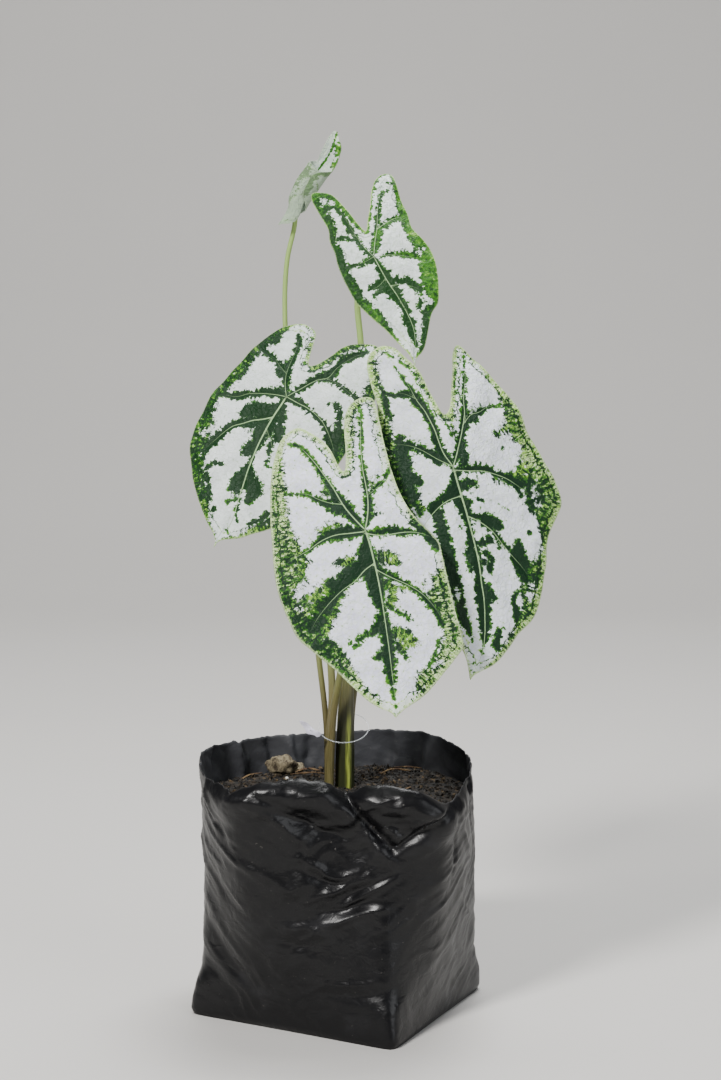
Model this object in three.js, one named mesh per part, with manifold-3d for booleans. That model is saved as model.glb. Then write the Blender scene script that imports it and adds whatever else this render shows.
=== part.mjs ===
// A white and green caladium growing in a black polythene nursery bag.
// Millimetres, +Z up. The origin is the centre of the bag's flat base, and the leaves face -Y.
// Every piece is a closed body lofted through rings of points; touching pieces keep a small gap.
import * as THREE from 'three';
import { mergeVertices } from 'three/addons/utils/BufferGeometryUtils.js';
import Module from 'manifold-3d';

// ---------------------------------------------------------------- driving dimensions

const GAP = 0.3; // clearance between touching pieces

const BAG = {
  // Corners of the filled base, about 127 mm apart: left, front, right and back.
  corners: [[-88, -24.5], [32, -90], [86.5, 24], [-30, 87]],
  sharpness: 40, // the higher, the tighter the base's corners
  wall: 1.0,
  baseInset: 1.5, // how far the bottom fold pulls in under the sides
  baseFold: 3, // height of that fold
  sideBulge: 3.5, // how far the filled sides swell at mid height
  cornerPinch: [3, 2, -1.5, 2], // and how far each corner is drawn in there
  lipReach: 26, // depth of the soft lip that bellies out below the rim at the front
  lipBelly: 7,
  lipAngle: 272, // the middle of that lip, in degrees from +X
  lipSpread: 67, // and how far it runs to either side
  sectors: 52,
};

// The torn rim, anticlockwise from +X: [angle in degrees, distance from the axis, height].
const RIM = [
  [3, 79, 143.5], [20, 80.5, 144], [36, 82, 146], [50, 83, 148], [68, 74, 149], [88, 68, 148],
  [112, 66, 148], [134, 70, 148], [155, 76, 148.5], [176, 80, 149], [196, 82, 145],
  [213, 84, 143.5], [226, 84.5, 142.5], [236, 79, 147], [250, 69.5, 149.5], [264, 65, 147.5],
  [275, 64, 141], [283, 68, 145.5], [294, 76, 146.5], [304, 85, 143], [314, 88, 135],
  [328, 82, 137.5], [345, 78, 142],
];

const SOIL = {
  edge: 124, // height of the mix at the wall
  crown: 129, // and round the stalks
  rings: [0.88, 0.68, 0.46, 0.24], // share of the way from the crown to the wall
  lump: 1.1, // height of the lumps on its surface
  lumpSpans: [7, 6, 3.7], // how wide they are: along X, along Y and aslant
};

const TUBER = {
  top: 104, // the flat crown that the stalks rise from
  // [height below the crown, radius]
  profile: [[22, 7], [19, 14.5], [12, 20.5], [5, 19.5], [0, 15.5]],
  knobs: 0.07, // how lumpy it is, as a share of its radius
  sides: 16,
  roots: 9,
  rootStart: 14, // distance from the axis
  rootLength: 34,
  rootRadius: [1.5, 0.8],
  rootRises: [3, 5, 7], // depth below the crown that each root in turn leaves from
  rootDrops: [26, 42], // and how far each in turn runs down
  rootSway: 4,
};

const BLADE = {
  thickness: 0.9,
  rings: [0.28, 0.56, 0.8, 1], // share of the way from the stalk to the edge
  rounding: 8, // half the width of the trough that the midrib runs in
};

// Spread leaves. Each blade is drawn flat in its own plane: v across, to the right as the leaf
// faces the viewer, and u along the midrib, from the stalk towards the tip. The outline starts in
// the notch between the two lobes and runs round by the right lobe and the tip.
// fold: how steeply the left and right halves fall back from the midrib.
const LEAVES = {
  front: {
    junction: [15.5, -75, 291], tip: [33, -118, 197], facing: [0, -0.9, 0.35],
    arch: 6, droop: 8, lobe: 75, fold: [0.12, 0.12],
    outline: [
      [-5.6, -36], [-2.8, -48], [0.6, -70], [5, -77], [12, -80.5], [17.8, -78], [19.2, -50],
      [22.8, -19], [31, 0], [39, 12], [40, 32], [41, 54], [42, 68], [36, 78], [21.7, 91],
      [5, 100.6], [-1.1, 104.7], [-8.3, 98], [-22.8, 82], [-39.4, 61], [-49.4, 41], [-52.8, 17],
      [-50, -18], [-45.6, -42], [-41.7, -54], [-37.2, -62], [-26, -68], [-15, -58], [-8.3, -41],
    ],
    stalk: [[-5.2, -7, 128], [-4.2, -7.6, 155], [-2.6, -10.5, 177], [1.8, -20, 202],
      [8, -40, 243], [13, -60, 275]],
    stalkRadius: [2.4, 1.9],
  },
  right: {
    junction: [64.7, -40, 322], tip: [74.3, -78, 208.8], facing: [0.3, -0.85, 0.35],
    arch: 6, droop: 8, lobe: 70, fold: [0.38, 0.15],
    outline: [
      [-1.3, -31], [4.3, -42], [7.7, -61], [13.3, -74], [21.7, -66], [37.5, -49], [48, -31],
      [55.5, -13], [65.6, 6], [67.8, 14], [63.3, 29], [58.8, 36.5], [53.8, 58], [48, 78],
      [33, 95], [17, 111], [8, 115], [1.7, 119.5], [0, 108], [-5, 97], [-22, 70], [-37, 30],
      [-42, -10], [-36.5, -38], [-39, -59], [-37, -70], [-30, -75], [-19, -68], [-10, -52],
      [-3.6, -34],
    ],
    stalk: [[6, 8.8, 128], [6.6, 8.6, 158], [10, 6.5, 192], [24, 0, 246], [45, -14, 294],
      [58, -28, 314]],
    stalkRadius: [2.5, 1.9],
  },
  left: {
    junction: [-29.4, 0, 358.1], tip: [-68.2, -38, 278.8], facing: [-0.3, -0.85, 0.35],
    arch: 6, droop: 8, lobe: 65, fold: [0.12, 0.12],
    outline: [
      [3.9, -23], [12, -34], [22, -46], [31, -50], [40, -44], [48, -18], [48, 5], [45, 30],
      [34, 60], [17.8, 81], [4.4, 89], [-3.3, 96], [-7.8, 89], [-24.4, 74], [-39, 56],
      [-47, 40], [-47, 18], [-43, -3], [-37.8, -19], [-30, -37], [-24.4, -44], [-11, -48],
      [-4.4, -46], [-1.7, -41], [1, -27],
    ],
    stalk: [[-5.8, 0, 128], [-5.2, 0, 157], [-3.6, 0, 182], [-4.4, 0.5, 204], [-9, 3, 250],
      [-17, 7, 300], [-24.5, 9.5, 335]],
    stalkRadius: [2.3, 1.8],
  },
  upper: {
    junction: [20.4, -20, 438.3], tip: [43.7, -46, 381], facing: [0.12, -0.9, 0.3],
    arch: 4, droop: 6, lobe: 55, fold: [0.45, 0.12],
    outline: [
      [1.7, -17], [10, -32], [14.4, -41], [20, -48], [25.6, -50], [29.4, -46], [28.7, -25],
      [27.8, -11], [32.8, 2], [33.3, 9], [28.9, 28], [20, 41], [12, 54], [1.7, 64],
      [-0.3, 67.6], [-2.8, 57], [-9.4, 40], [-17, 23], [-19.5, 3], [-18.8, -14], [-17.6, -31],
      [-18.7, -47], [-16.7, -53], [-8.9, -47], [-5, -38], [-1, -24],
    ],
    stalk: [[3.8, 0, 128], [4.2, 0.4, 160], [5.4, 2, 195], [9, 8, 250], [12.5, 15, 320],
      [13.3, 20, 385], [11.2, 16, 411], [13.5, 3, 428]],
    stalkRadius: [2.4, 1.7],
    // The sheath at the foot: [height, half width, half depth].
    sheath: [[128, 5.6, 5], [150, 5.5, 4.8], [172, 4.9, 4.2], [195, 3.6, 3.3], [230, 2.4, 2.4]],
  },
};

// The youngest blade is still rolled. Its rows climb its own axis, from the lobe that hangs below
// the stalk to the tip: [distance up the axis, sideways shift of the roll, radius of the roll,
// angle of the left edge, angle of the right edge]. Angles run from the back round by the right.
const YOUNG = {
  junction: [-22.9, 35, 462.9], tip: [-1.4, 33, 508.8],
  depth: 0.75, // the roll is flattened to this share from front to back
  spiral: 0.12, // each half turn runs this share further out, so the edges pass each other
  columns: 14,
  rows: [
    [-11.5, -2, 5.5, -80, -66], [-7, -2, 5, -118, -36], [-3, -1.8, 4.4, -165, -12],
    [1, -2.2, 4.6, -172, 70], [5, -3.2, 6, -172, 155], [10, -3.1, 6.4, -170, 190],
    [18, -2.4, 6.9, -168, 205], [23.5, -1.2, 6.9, -160, 212], [27, -0.4, 7, -105, 165],
    [29.5, 0.3, 7, -35, 110], [36, 1.4, 7, -39, 64], [43.5, 1.5, 7, -39, 48],
    [48.5, 0.9, 7, -26, 18], [51.5, 0.3, 7, -10, 3],
  ],
  midrib: 28, // degrees, where the midrib runs on the roll
  seatRow: 4, // the row that the stalk joins at
  stalk: [[-6.4, 6.3, 128], [-6.6, 4.7, 157], [-7.9, 4.2, 176], [-11.3, 8, 204],
    [-19, 20, 270], [-27.5, 32, 350], [-31.4, 40, 405], [-30, 42, 435], [-25.6, 41.6, 455]],
  stalkRadius: [1.8, 1.4],
};

const STALK = {
  sides: 8,
  steps: 20,
  straightEnd: 2.5, // last stretch, square to the blade that it carries
  holeAbove: 14, // how far the tool that cuts its hole reaches above the mix
};

const LOOP = {
  centre: [3.2, -0.3, 165], radius: 14.6, wire: 0.5, tilt: 25, steps: 40, sides: 6,
};

// The tag's outline, seen from the front, from its corner by the loop: [across, up].
const TAG = {
  corner: [-10.4, -7.6, 161.4],
  outline: [[0, 0], [-2.4, -1.2], [-3.6, 0.6], [-7.4, 1.2], [-9.2, 4.4], [-12, 8.6], [-8.8, 8.4],
    [-5.2, 5.8], [-3.4, 3.4], [-1, 2.6]],
  thickness: 0.8,
  lean: 12, // degrees that its top leans back
};

// ---------------------------------------------------------------- materials

const material = (color, roughness, metalness = 0) =>
  new THREE.MeshStandardMaterial({ color, roughness, metalness });

const blackFilm = material(0x101114, 0.35);
const pottingMix = material(0x3a2c1c, 1.0);
const tuberSkin = material(0x5a4330, 0.9);
const leaf = material(0xc9d4c0, 0.5);
const stalkGreen = material(0x8f9860, 0.5);
const sheathOlive = material(0x4f5226, 0.5);
const clearNylon = material(0xd8dce0, 0.2);
const blankTag = material(0xe6e4ec, 0.7);

// ---------------------------------------------------------------- shared geometry

const vec = (p) => new THREE.Vector3(p[0], p[1], p[2]);
const lerp = THREE.MathUtils.lerp;
const rad = THREE.MathUtils.degToRad;

// The faces of the strips between rings of equally many points. Rings run anticlockwise as seen
// from the end of the loft. `mirrored(ring, i)` says where a strip's squares are split along their
// other diagonal, so that the two faces of a thin wall are split alike.
function strips(rings, mirrored) {
  const n = rings[0].length;
  const faces = [];
  for (let ring = 0; ring < rings.length - 1; ring++) {
    for (let i = 0; i < n; i++) {
      const [a, b] = [ring * n + i, ring * n + ((i + 1) % n)];
      const [c, d] = [a + n, b + n];
      if (mirrored(ring, i)) faces.push(a, b, c, b, d, c);
      else faces.push(a, b, d, a, d, c);
    }
  }
  return faces;
}

function bodyOf(points, faces) {
  const geometry = new THREE.BufferGeometry();
  geometry.setAttribute('position', new THREE.Float32BufferAttribute(
    points.flatMap((p) => [p.x, p.y, p.z]), 3));
  geometry.setIndex(faces);
  geometry.computeVertexNormals();
  return geometry;
}

// A closed body through rings. The first is closed by a fan to `start`, the last by one to `end`.
// The rings of a thin wall go out along one face and, from `turn` on, back along the other.
function loft(rings, start, end, turn = Infinity) {
  const n = rings[0].length;
  const points = [...rings.flat(), start, end];
  const lastRing = (rings.length - 1) * n;
  const faces = strips(rings, (ring) => ring >= turn);
  for (let i = 0; i < n; i++) {
    const next = (i + 1) % n;
    faces.push(points.length - 2, next, i);
    faces.push(points.length - 1, lastRing + i, lastRing + next);
  }
  return bodyOf(points, faces);
}

// A curled sheet. Each ring is one row of it: along one face and back along the other.
function sheet(rings) {
  const n = rings[0].length;
  const last = (rings.length - 1) * n;
  const faces = strips(rings, (_, i) => i >= n / 2);
  for (let i = 0; i < n / 2 - 1; i++) {
    const opposite = n - 1 - i;
    faces.push(i, opposite, opposite - 1, i, opposite - 1, i + 1);
    faces.push(last + i, last + opposite - 1, last + opposite);
    faces.push(last + i, last + i + 1, last + opposite - 1);
  }
  return bodyOf(rings.flat(), faces);
}

const middle = (ring) =>
  ring.reduce((sum, p) => sum.add(p), new THREE.Vector3()).divideScalar(ring.length);

// A smooth closed curve of column `column` of a table whose first column is an angle in degrees.
function around(table, column, degrees) {
  const n = table.length;
  const angle = ((degrees % 360) + 360) % 360;
  let i = table.findIndex((row) => row[0] > angle);
  if (i === -1) i = 0;
  const row = (k) => table[(k + 2 * n) % n];
  const ahead = (from, to) => ((to - from) % 360 + 360) % 360;
  const [a, b, c, d] = [row(i - 2), row(i - 1), row(i), row(i + 1)];
  const span = ahead(b[0], c[0]);
  const t = ahead(b[0], angle) / span;
  const slopeB = ((c[column] - a[column]) / (ahead(a[0], b[0]) + span)) * span;
  const slopeC = ((d[column] - b[column]) / (ahead(c[0], d[0]) + span)) * span;
  const t2 = t * t;
  const t3 = t2 * t;
  return (2 * t3 - 3 * t2 + 1) * b[column] + (t3 - 2 * t2 + t) * slopeB
    + (3 * t2 - 2 * t3) * c[column] + (t3 - t2) * slopeC;
}

const wasm = await Module();
wasm.setup();

function solidOf(geometry) {
  const bare = new THREE.BufferGeometry();
  bare.setAttribute('position', geometry.getAttribute('position'));
  bare.setIndex(geometry.index);
  const merged = mergeVertices(bare, 1e-3);
  return new wasm.Manifold(new wasm.Mesh({
    numProp: 3,
    vertProperties: merged.attributes.position.array,
    triVerts: new Uint32Array(merged.index.array),
  }));
}

function geometryOf(solid) {
  const mesh = solid.getMesh();
  const geometry = new THREE.BufferGeometry();
  geometry.setAttribute('position', new THREE.BufferAttribute(mesh.vertProperties, 3));
  geometry.setIndex(new THREE.BufferAttribute(mesh.triVerts, 1));
  geometry.computeVertexNormals();
  return geometry;
}

const plant = new THREE.Group();

function place(name, geometry, finish) {
  const mesh = new THREE.Mesh(geometry, finish);
  mesh.name = name;
  plant.add(mesh);
  return mesh;
}

// ---------------------------------------------------------------- grow bag and soil

// The base's sides: each has its direction outwards and its distance from the axis.
const baseSides = BAG.corners.map(([x, y], i) => {
  const [nextX, nextY] = BAG.corners[(i + 1) % BAG.corners.length];
  const length = Math.hypot(nextX - x, nextY - y);
  const outward = [(nextY - y) / length, (x - nextX) / length];
  return { outward, distance: outward[0] * x + outward[1] * y };
});

// Distance from the axis to the base's outline, whose corners are rounded.
function baseRadius(degrees) {
  const direction = [Math.cos(rad(degrees)), Math.sin(rad(degrees))];
  const sum = baseSides.reduce((total, { outward, distance }) => {
    const facing = outward[0] * direction[0] + outward[1] * direction[1];
    return total + (Math.max(0, facing) / distance) ** BAG.sharpness;
  }, 0);
  return sum ** (-1 / BAG.sharpness);
}

const cornerAngles = BAG.corners.map(([x, y]) => Math.atan2(y, x));

// How far the wall stands out at mid height: it swells between the corners and is drawn in at them.
function swelling(degrees) {
  const turns = cornerAngles.map((angle) => Math.abs(Math.atan2(
    Math.sin(angle - rad(degrees)), Math.cos(angle - rad(degrees)))));
  const nearest = Math.min(...turns);
  const cornerness = Math.cos(2 * Math.min(Math.PI / 4, nearest)) ** 2;
  return lerp(BAG.sideBulge, -BAG.cornerPinch[turns.indexOf(nearest)], cornerness);
}

// How much the lip bellies out: 1 at the middle of the front, 0 at the sides and the back.
function frontness(degrees) {
  const away = Math.abs(degrees - BAG.lipAngle) / BAG.lipSpread;
  return Math.sqrt(Math.cos((Math.min(1, away) * Math.PI) / 2));
}

// Distance from the axis to the bag's outside at an angle and a height.
function bagRadius(degrees, z) {
  const height = around(RIM, 2, degrees);
  const up = Math.min(1, z / height);
  const ease = up * up * (3 - 2 * up);
  const straight = lerp(baseRadius(degrees), around(RIM, 1, degrees), ease);
  const swollen = straight + swelling(degrees) * Math.sin(Math.PI * up);
  const footed = swollen - BAG.baseInset * Math.max(0, 1 - z / BAG.baseFold);
  const upTheLip = Math.max(0, 1 - (height - z) / BAG.lipReach);
  const belly = 4 * upTheLip * (1 - upTheLip); // 1 halfway up the lip
  return footed + BAG.lipBelly * frontness(degrees) * belly;
}

// Directions of the wall's points: evenly spaced from each corner of the base to the next.
const bagAngles = cornerAngles.flatMap((angle, i) => {
  const next = cornerAngles[(i + 1) % cornerAngles.length];
  const span = (next - angle + 2 * Math.PI) % (2 * Math.PI);
  const count = BAG.sectors / cornerAngles.length;
  return Array.from({ length: count }, (_, k) =>
    (THREE.MathUtils.radToDeg(angle + (span * k) / count) + 360) % 360);
});

const bagRing = (heightAt, inset) => bagAngles.map((degrees) => {
  const z = heightAt(degrees);
  const radius = bagRadius(degrees, z) - inset;
  return new THREE.Vector3(radius * Math.cos(rad(degrees)), radius * Math.sin(rad(degrees)), z);
});

// Heights of the rings up to the soil's edge; above it they follow the rim.
const LEVELS = [BAG.baseFold, 28, 58, 86, 108, SOIL.edge];
const rimShare = (share) => (degrees) => lerp(SOIL.edge, around(RIM, 2, degrees), share);

function growBag() {
  const wallRings = (inset, floor) => [
    bagRing(() => floor, inset),
    ...LEVELS.map((z) => bagRing(() => z, inset)),
    bagRing(rimShare(0.5), inset),
    bagRing(rimShare(1), inset),
  ];
  const outer = wallRings(0, 0);
  const inner = wallRings(BAG.wall, BAG.wall).reverse();
  const floor = new THREE.Vector3(0, 0, BAG.wall);
  return loft([...outer, ...inner], new THREE.Vector3(), floor, outer.length);
}

// Lumps in the mix, as a height above its smooth surface.
function lumps(x, y) {
  const [spanX, spanY, aslant] = SOIL.lumpSpans;
  return SOIL.lump * (Math.sin(x / spanX + 1) * Math.cos(y / spanY)
    + 0.6 * Math.sin((x - y) / aslant));
}

function soilBody() {
  const inset = BAG.wall + GAP;
  const floor = BAG.wall + GAP;
  const side = [bagRing(() => floor, inset), ...LEVELS.map((z) => bagRing(() => z, inset))];
  const edge = side[side.length - 1];
  const top = SOIL.rings.map((share) => edge.map((p) => {
    const [x, y] = [p.x * share, p.y * share];
    const rise = Math.sqrt(1 - share * share);
    return new THREE.Vector3(x, y, lerp(SOIL.edge, SOIL.crown, rise) + lumps(x, y));
  }));
  return loft([...side, ...top], new THREE.Vector3(0, 0, floor),
    new THREE.Vector3(0, 0, SOIL.crown));
}

// ---------------------------------------------------------------- stalks

// The radius of a stalk's elliptical section at a height: [half width, half depth].
function stalkSection(leafData, share, z) {
  const round = lerp(leafData.stalkRadius[0], leafData.stalkRadius[1], share);
  const sheath = leafData.sheath;
  if (!sheath || z >= sheath[sheath.length - 1][0]) return [round, round];
  if (z <= sheath[0][0]) return sheath[0].slice(1);
  const k = sheath.findIndex((row) => row[0] > z);
  const t = (z - sheath[k - 1][0]) / (sheath[k][0] - sheath[k - 1][0]);
  return [lerp(sheath[k - 1][1], sheath[k][1], t), lerp(sheath[k - 1][2], sheath[k][2], t)];
}

// A stalk from the tuber up to `seat`, where it arrives along `arrive`. `grow` widens it, for
// the hole that it stands in.
function stalkBody(leafData, seat, arrive, grow = 0, top = Infinity) {
  const foot = leafData.stalk[0];
  const route = [
    new THREE.Vector3(foot[0], foot[1], TUBER.top + GAP),
    ...leafData.stalk.map(vec),
    seat.clone().addScaledVector(arrive, -STALK.straightEnd),
    seat,
  ];
  const curve = new THREE.CatmullRomCurve3(route, false, 'centripetal');
  const rings = [];
  for (let i = 0; i <= STALK.steps; i++) {
    const share = i / STALK.steps;
    const centre = curve.getPointAt(share);
    if (centre.z > top) break;
    const along = i === 0 ? new THREE.Vector3(0, 0, 1) : curve.getTangentAt(share);
    const side = new THREE.Vector3(1, 0, 0);
    side.addScaledVector(along, -side.dot(along)).normalize();
    const back = new THREE.Vector3().crossVectors(along, side);
    const [width, depth] = stalkSection(leafData, share, centre.z);
    rings.push(Array.from({ length: STALK.sides }, (_, k) => {
      const angle = (2 * Math.PI * k) / STALK.sides;
      return centre.clone()
        .addScaledVector(side, (width + grow) * Math.cos(angle))
        .addScaledVector(back, (depth + grow) * Math.sin(angle));
    }));
  }
  return loft(rings, middle(rings[0]), middle(rings[rings.length - 1]));
}

// ---------------------------------------------------------------- blades

// The blade's own directions: along the midrib, out of its face, and across to the right.
function bladeFrame({ junction, tip, facing }) {
  const origin = vec(junction);
  const along = vec(tip).sub(origin);
  const length = along.length();
  along.normalize();
  const out = vec(facing);
  out.addScaledVector(along, -out.dot(along)).normalize();
  return { origin, along, out, across: new THREE.Vector3().crossVectors(out, along), length };
}

// How far the blade stands out of its plane at (v, u): it arches along the midrib, its lobes
// droop back, and its halves fall away from the midrib.
function bladeHeight(leafData, length, v, u) {
  const { arch, droop, lobe, fold } = leafData;
  const fall = fold[v < 0 ? 0 : 1] * (Math.hypot(v, BLADE.rounding) - BLADE.rounding);
  const bend = u > 0 ? arch * (u / length) ** 2 : droop * (u / lobe) ** 2;
  return -fall - bend;
}

// The outline's points with one more between each pair, on a smooth curve through them all.
function smoothOutline(outline) {
  const curve = new THREE.CatmullRomCurve3(
    outline.map(([v, u]) => new THREE.Vector3(v, u, 0)), true, 'centripetal');
  return curve.getPoints(2 * outline.length).slice(0, -1);
}

function bladeBody(leafData) {
  const { origin, along, out, across, length } = bladeFrame(leafData);
  const point = (v, u, side) => origin.clone()
    .addScaledVector(along, u)
    .addScaledVector(across, v)
    .addScaledVector(out, bladeHeight(leafData, length, v, u) + (side * BLADE.thickness) / 2);
  const edge = smoothOutline(leafData.outline);
  const ring = (share, side) => edge.map(({ x, y }) => point(x * share, y * share, side));
  const front = BLADE.rings.map((share) => ring(share, 1));
  const back = BLADE.rings.map((share) => ring(share, -1)).reverse();
  return loft([...front, ...back], point(0, 0, 1), point(0, 0, -1), front.length);
}

// The rolled blade's axis, its right and its back.
function youngFrame() {
  const origin = vec(YOUNG.junction);
  const up = vec(YOUNG.tip).sub(origin).normalize();
  const back = new THREE.Vector3(0, 1, 0);
  back.addScaledVector(up, -back.dot(up)).normalize();
  return { origin, up, back, right: new THREE.Vector3().crossVectors(up, back).negate() };
}

// A point of the roll on row [u, shift, radius, ...], `angle` degrees round from the back.
function youngPoint([u, shift, radius], angle, lift = 0) {
  const { origin, up, back, right } = youngFrame();
  const reach = radius * (1 + (YOUNG.spiral * angle) / 180) + lift;
  return origin.clone()
    .addScaledVector(up, u)
    .addScaledVector(right, shift + reach * Math.sin(rad(angle)))
    .addScaledVector(back, YOUNG.depth * reach * Math.cos(rad(angle)));
}

// The rolled blade is a sheet of rows and columns with an outer and an inner face: one ring of
// the loft is a row's outer side, left to right, followed by its inner side, right to left.
function youngBody() {
  const half = BLADE.thickness / 2;
  const rings = YOUNG.rows.map((row) => {
    const angles = Array.from({ length: YOUNG.columns }, (_, i) =>
      lerp(row[3], row[4], i / (YOUNG.columns - 1)));
    const outer = angles.map((angle) => youngPoint(row, angle, half));
    const inner = angles.reverse().map((angle) => youngPoint(row, angle, -half));
    return [...outer, ...inner];
  });
  return sheet(rings.map((ring) => ring.reverse()));
}

// ---------------------------------------------------------------- tuber with its roots

function tuberBody(grow = 0) {
  const angles = Array.from({ length: TUBER.sides }, (_, i) => (2 * Math.PI * i) / TUBER.sides);
  const ring = (z, radius) => angles.map((angle) => {
    const knob = 1 + TUBER.knobs * Math.sin(3 * angle + z / 5);
    return new THREE.Vector3(
      (radius * knob + grow) * Math.cos(angle), (radius * knob + grow) * Math.sin(angle), z);
  });
  const rings = TUBER.profile.map(([below, radius], i) => {
    const lift = i === 0 ? -grow : i === TUBER.profile.length - 1 ? grow : 0;
    return ring(TUBER.top - below + lift, radius);
  });
  return loft(rings, middle(rings[0]), middle(rings[rings.length - 1]));
}

function rootBody(index, grow = 0) {
  const sides = 6;
  const angle = (2 * Math.PI * (index + 0.5)) / TUBER.roots;
  const outward = new THREE.Vector3(Math.cos(angle), Math.sin(angle), 0);
  const acrossRoot = new THREE.Vector3(-outward.y, outward.x, 0);
  const rise = TUBER.rootRises[index % TUBER.rootRises.length];
  const drop = TUBER.rootDrops[index % TUBER.rootDrops.length];
  const pastTip = 1 + grow / TUBER.rootLength;
  const shares = grow ? [0, 0.35, 0.7, 1, pastTip] : [0, 0.35, 0.7, 1];
  const rings = shares.map((share) => {
    const reach = TUBER.rootStart + share * TUBER.rootLength;
    const centre = outward.clone().multiplyScalar(reach)
      .addScaledVector(acrossRoot, TUBER.rootSway * Math.sin(share * Math.PI))
      .setZ(TUBER.top - rise - drop * share * share);
    const radius = lerp(...TUBER.rootRadius, share) + grow;
    return Array.from({ length: sides }, (_, k) => {
      const turn = (2 * Math.PI * k) / sides;
      return centre.clone()
        .addScaledVector(acrossRoot, radius * Math.cos(turn))
        .add(new THREE.Vector3(0, 0, radius * Math.sin(turn)));
    });
  });
  return loft(rings, middle(rings[0]), middle(rings[rings.length - 1]));
}

function rootedTuber(grow = 0) {
  let solid = solidOf(tuberBody(grow));
  for (let i = 0; i < TUBER.roots; i++) solid = solid.add(solidOf(rootBody(i, grow)));
  return solid;
}

// ---------------------------------------------------------------- tag and its loop

function tagLoop() {
  const centre = vec(LOOP.centre);
  const across = new THREE.Vector3(1, 0, 0);
  const slope = new THREE.Vector3(0, Math.cos(rad(LOOP.tilt)), Math.sin(rad(LOOP.tilt)));
  const geometry = new THREE.TorusGeometry(LOOP.radius, LOOP.wire, LOOP.sides, LOOP.steps);
  geometry.applyMatrix4(new THREE.Matrix4().makeBasis(
    across, slope, new THREE.Vector3().crossVectors(across, slope)).setPosition(centre));
  return geometry;
}

function tagPlate() {
  const shape = new THREE.Shape(TAG.outline.map(([x, y]) => new THREE.Vector2(x, y)).reverse());
  const geometry = new THREE.ExtrudeGeometry(shape, { depth: TAG.thickness, bevelEnabled: false });
  geometry.rotateX(rad(90 - TAG.lean));
  return geometry.translate(...TAG.corner);
}

// ---------------------------------------------------------------- assembly

// Where each stalk ends, behind its blade, and the direction that it arrives in. The blade's
// halves fall back a little across the width of the stalk's end.
function stalkSeat(leafData) {
  const { origin, out } = bladeFrame(leafData);
  const fall = Math.max(...leafData.fold) * leafData.stalkRadius[1] / 2;
  return [origin.clone().addScaledVector(out, -BLADE.thickness / 2 - GAP - fall), out];
}

function youngSeat() {
  const { up } = youngFrame();
  const clear = BLADE.thickness / 2 + GAP + YOUNG.stalkRadius[1];
  const lift = clear / Math.cos(rad(YOUNG.midrib));
  return [youngPoint(YOUNG.rows[YOUNG.seatRow], YOUNG.midrib, lift), up];
}

const stalks = Object.entries(LEAVES).map(([name, data]) => [name, data, ...stalkSeat(data)]);
stalks.push(['young', YOUNG, ...youngSeat()]);

const holeTop = SOIL.crown + STALK.holeAbove;
let soil = solidOf(soilBody()).subtract(rootedTuber(GAP));
for (const [name, data, seat, arrive] of stalks) {
  soil = soil.subtract(solidOf(stalkBody(data, seat, arrive, GAP, holeTop)));
  const finish = data.sheath ? sheathOlive : stalkGreen;
  place(`stalk_${name}`, stalkBody(data, seat, arrive), finish);
}
place('grow_bag', growBag(), blackFilm);
place('soil', geometryOf(soil), pottingMix);
place('tuber', geometryOf(rootedTuber()), tuberSkin);
for (const [name, data] of Object.entries(LEAVES)) place(`blade_${name}`, bladeBody(data), leaf);
place('blade_young', youngBody(), leaf);
place('tag_loop', tagLoop(), clearNylon);
place('tag', tagPlate(), blankTag);

export default plant;
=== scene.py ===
"""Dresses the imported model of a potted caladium: blades, stalks, grow bag, potting mix and tag.

The file is laid out as an add-on and is run as a script. Tables hold millimetres, as drawn on the
plant, and meshes are written in metres. The leaves face -Y and +Z is up.
"""
import math

import bpy
import numpy as np
from bpy.props import FloatProperty, FloatVectorProperty, IntProperty, PointerProperty
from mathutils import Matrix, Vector, noise


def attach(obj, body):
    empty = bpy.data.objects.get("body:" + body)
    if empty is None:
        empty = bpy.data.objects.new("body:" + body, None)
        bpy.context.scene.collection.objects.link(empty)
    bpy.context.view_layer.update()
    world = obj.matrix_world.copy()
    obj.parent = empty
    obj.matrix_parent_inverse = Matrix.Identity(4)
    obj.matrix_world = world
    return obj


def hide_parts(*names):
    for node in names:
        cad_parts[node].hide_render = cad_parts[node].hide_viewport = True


bl_info = {
    "name": "Potted caladium",
    "version": (1, 0, 0),
    "blender": (4, 5, 0),
    "location": "View3D > Sidebar > Caladium",
    "description": "Blades, stalks, grow bag, potting mix and tag around the packed model",
    "category": "Add Mesh",
}

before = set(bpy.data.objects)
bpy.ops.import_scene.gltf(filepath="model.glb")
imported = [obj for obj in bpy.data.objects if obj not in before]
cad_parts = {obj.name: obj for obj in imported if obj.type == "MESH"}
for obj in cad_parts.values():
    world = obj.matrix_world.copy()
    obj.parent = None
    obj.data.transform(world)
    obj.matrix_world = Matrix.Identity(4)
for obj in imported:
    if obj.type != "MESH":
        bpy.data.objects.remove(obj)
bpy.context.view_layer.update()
MM = 0.001
BODY = "root"


# ---- tables: the spread leaves

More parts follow.
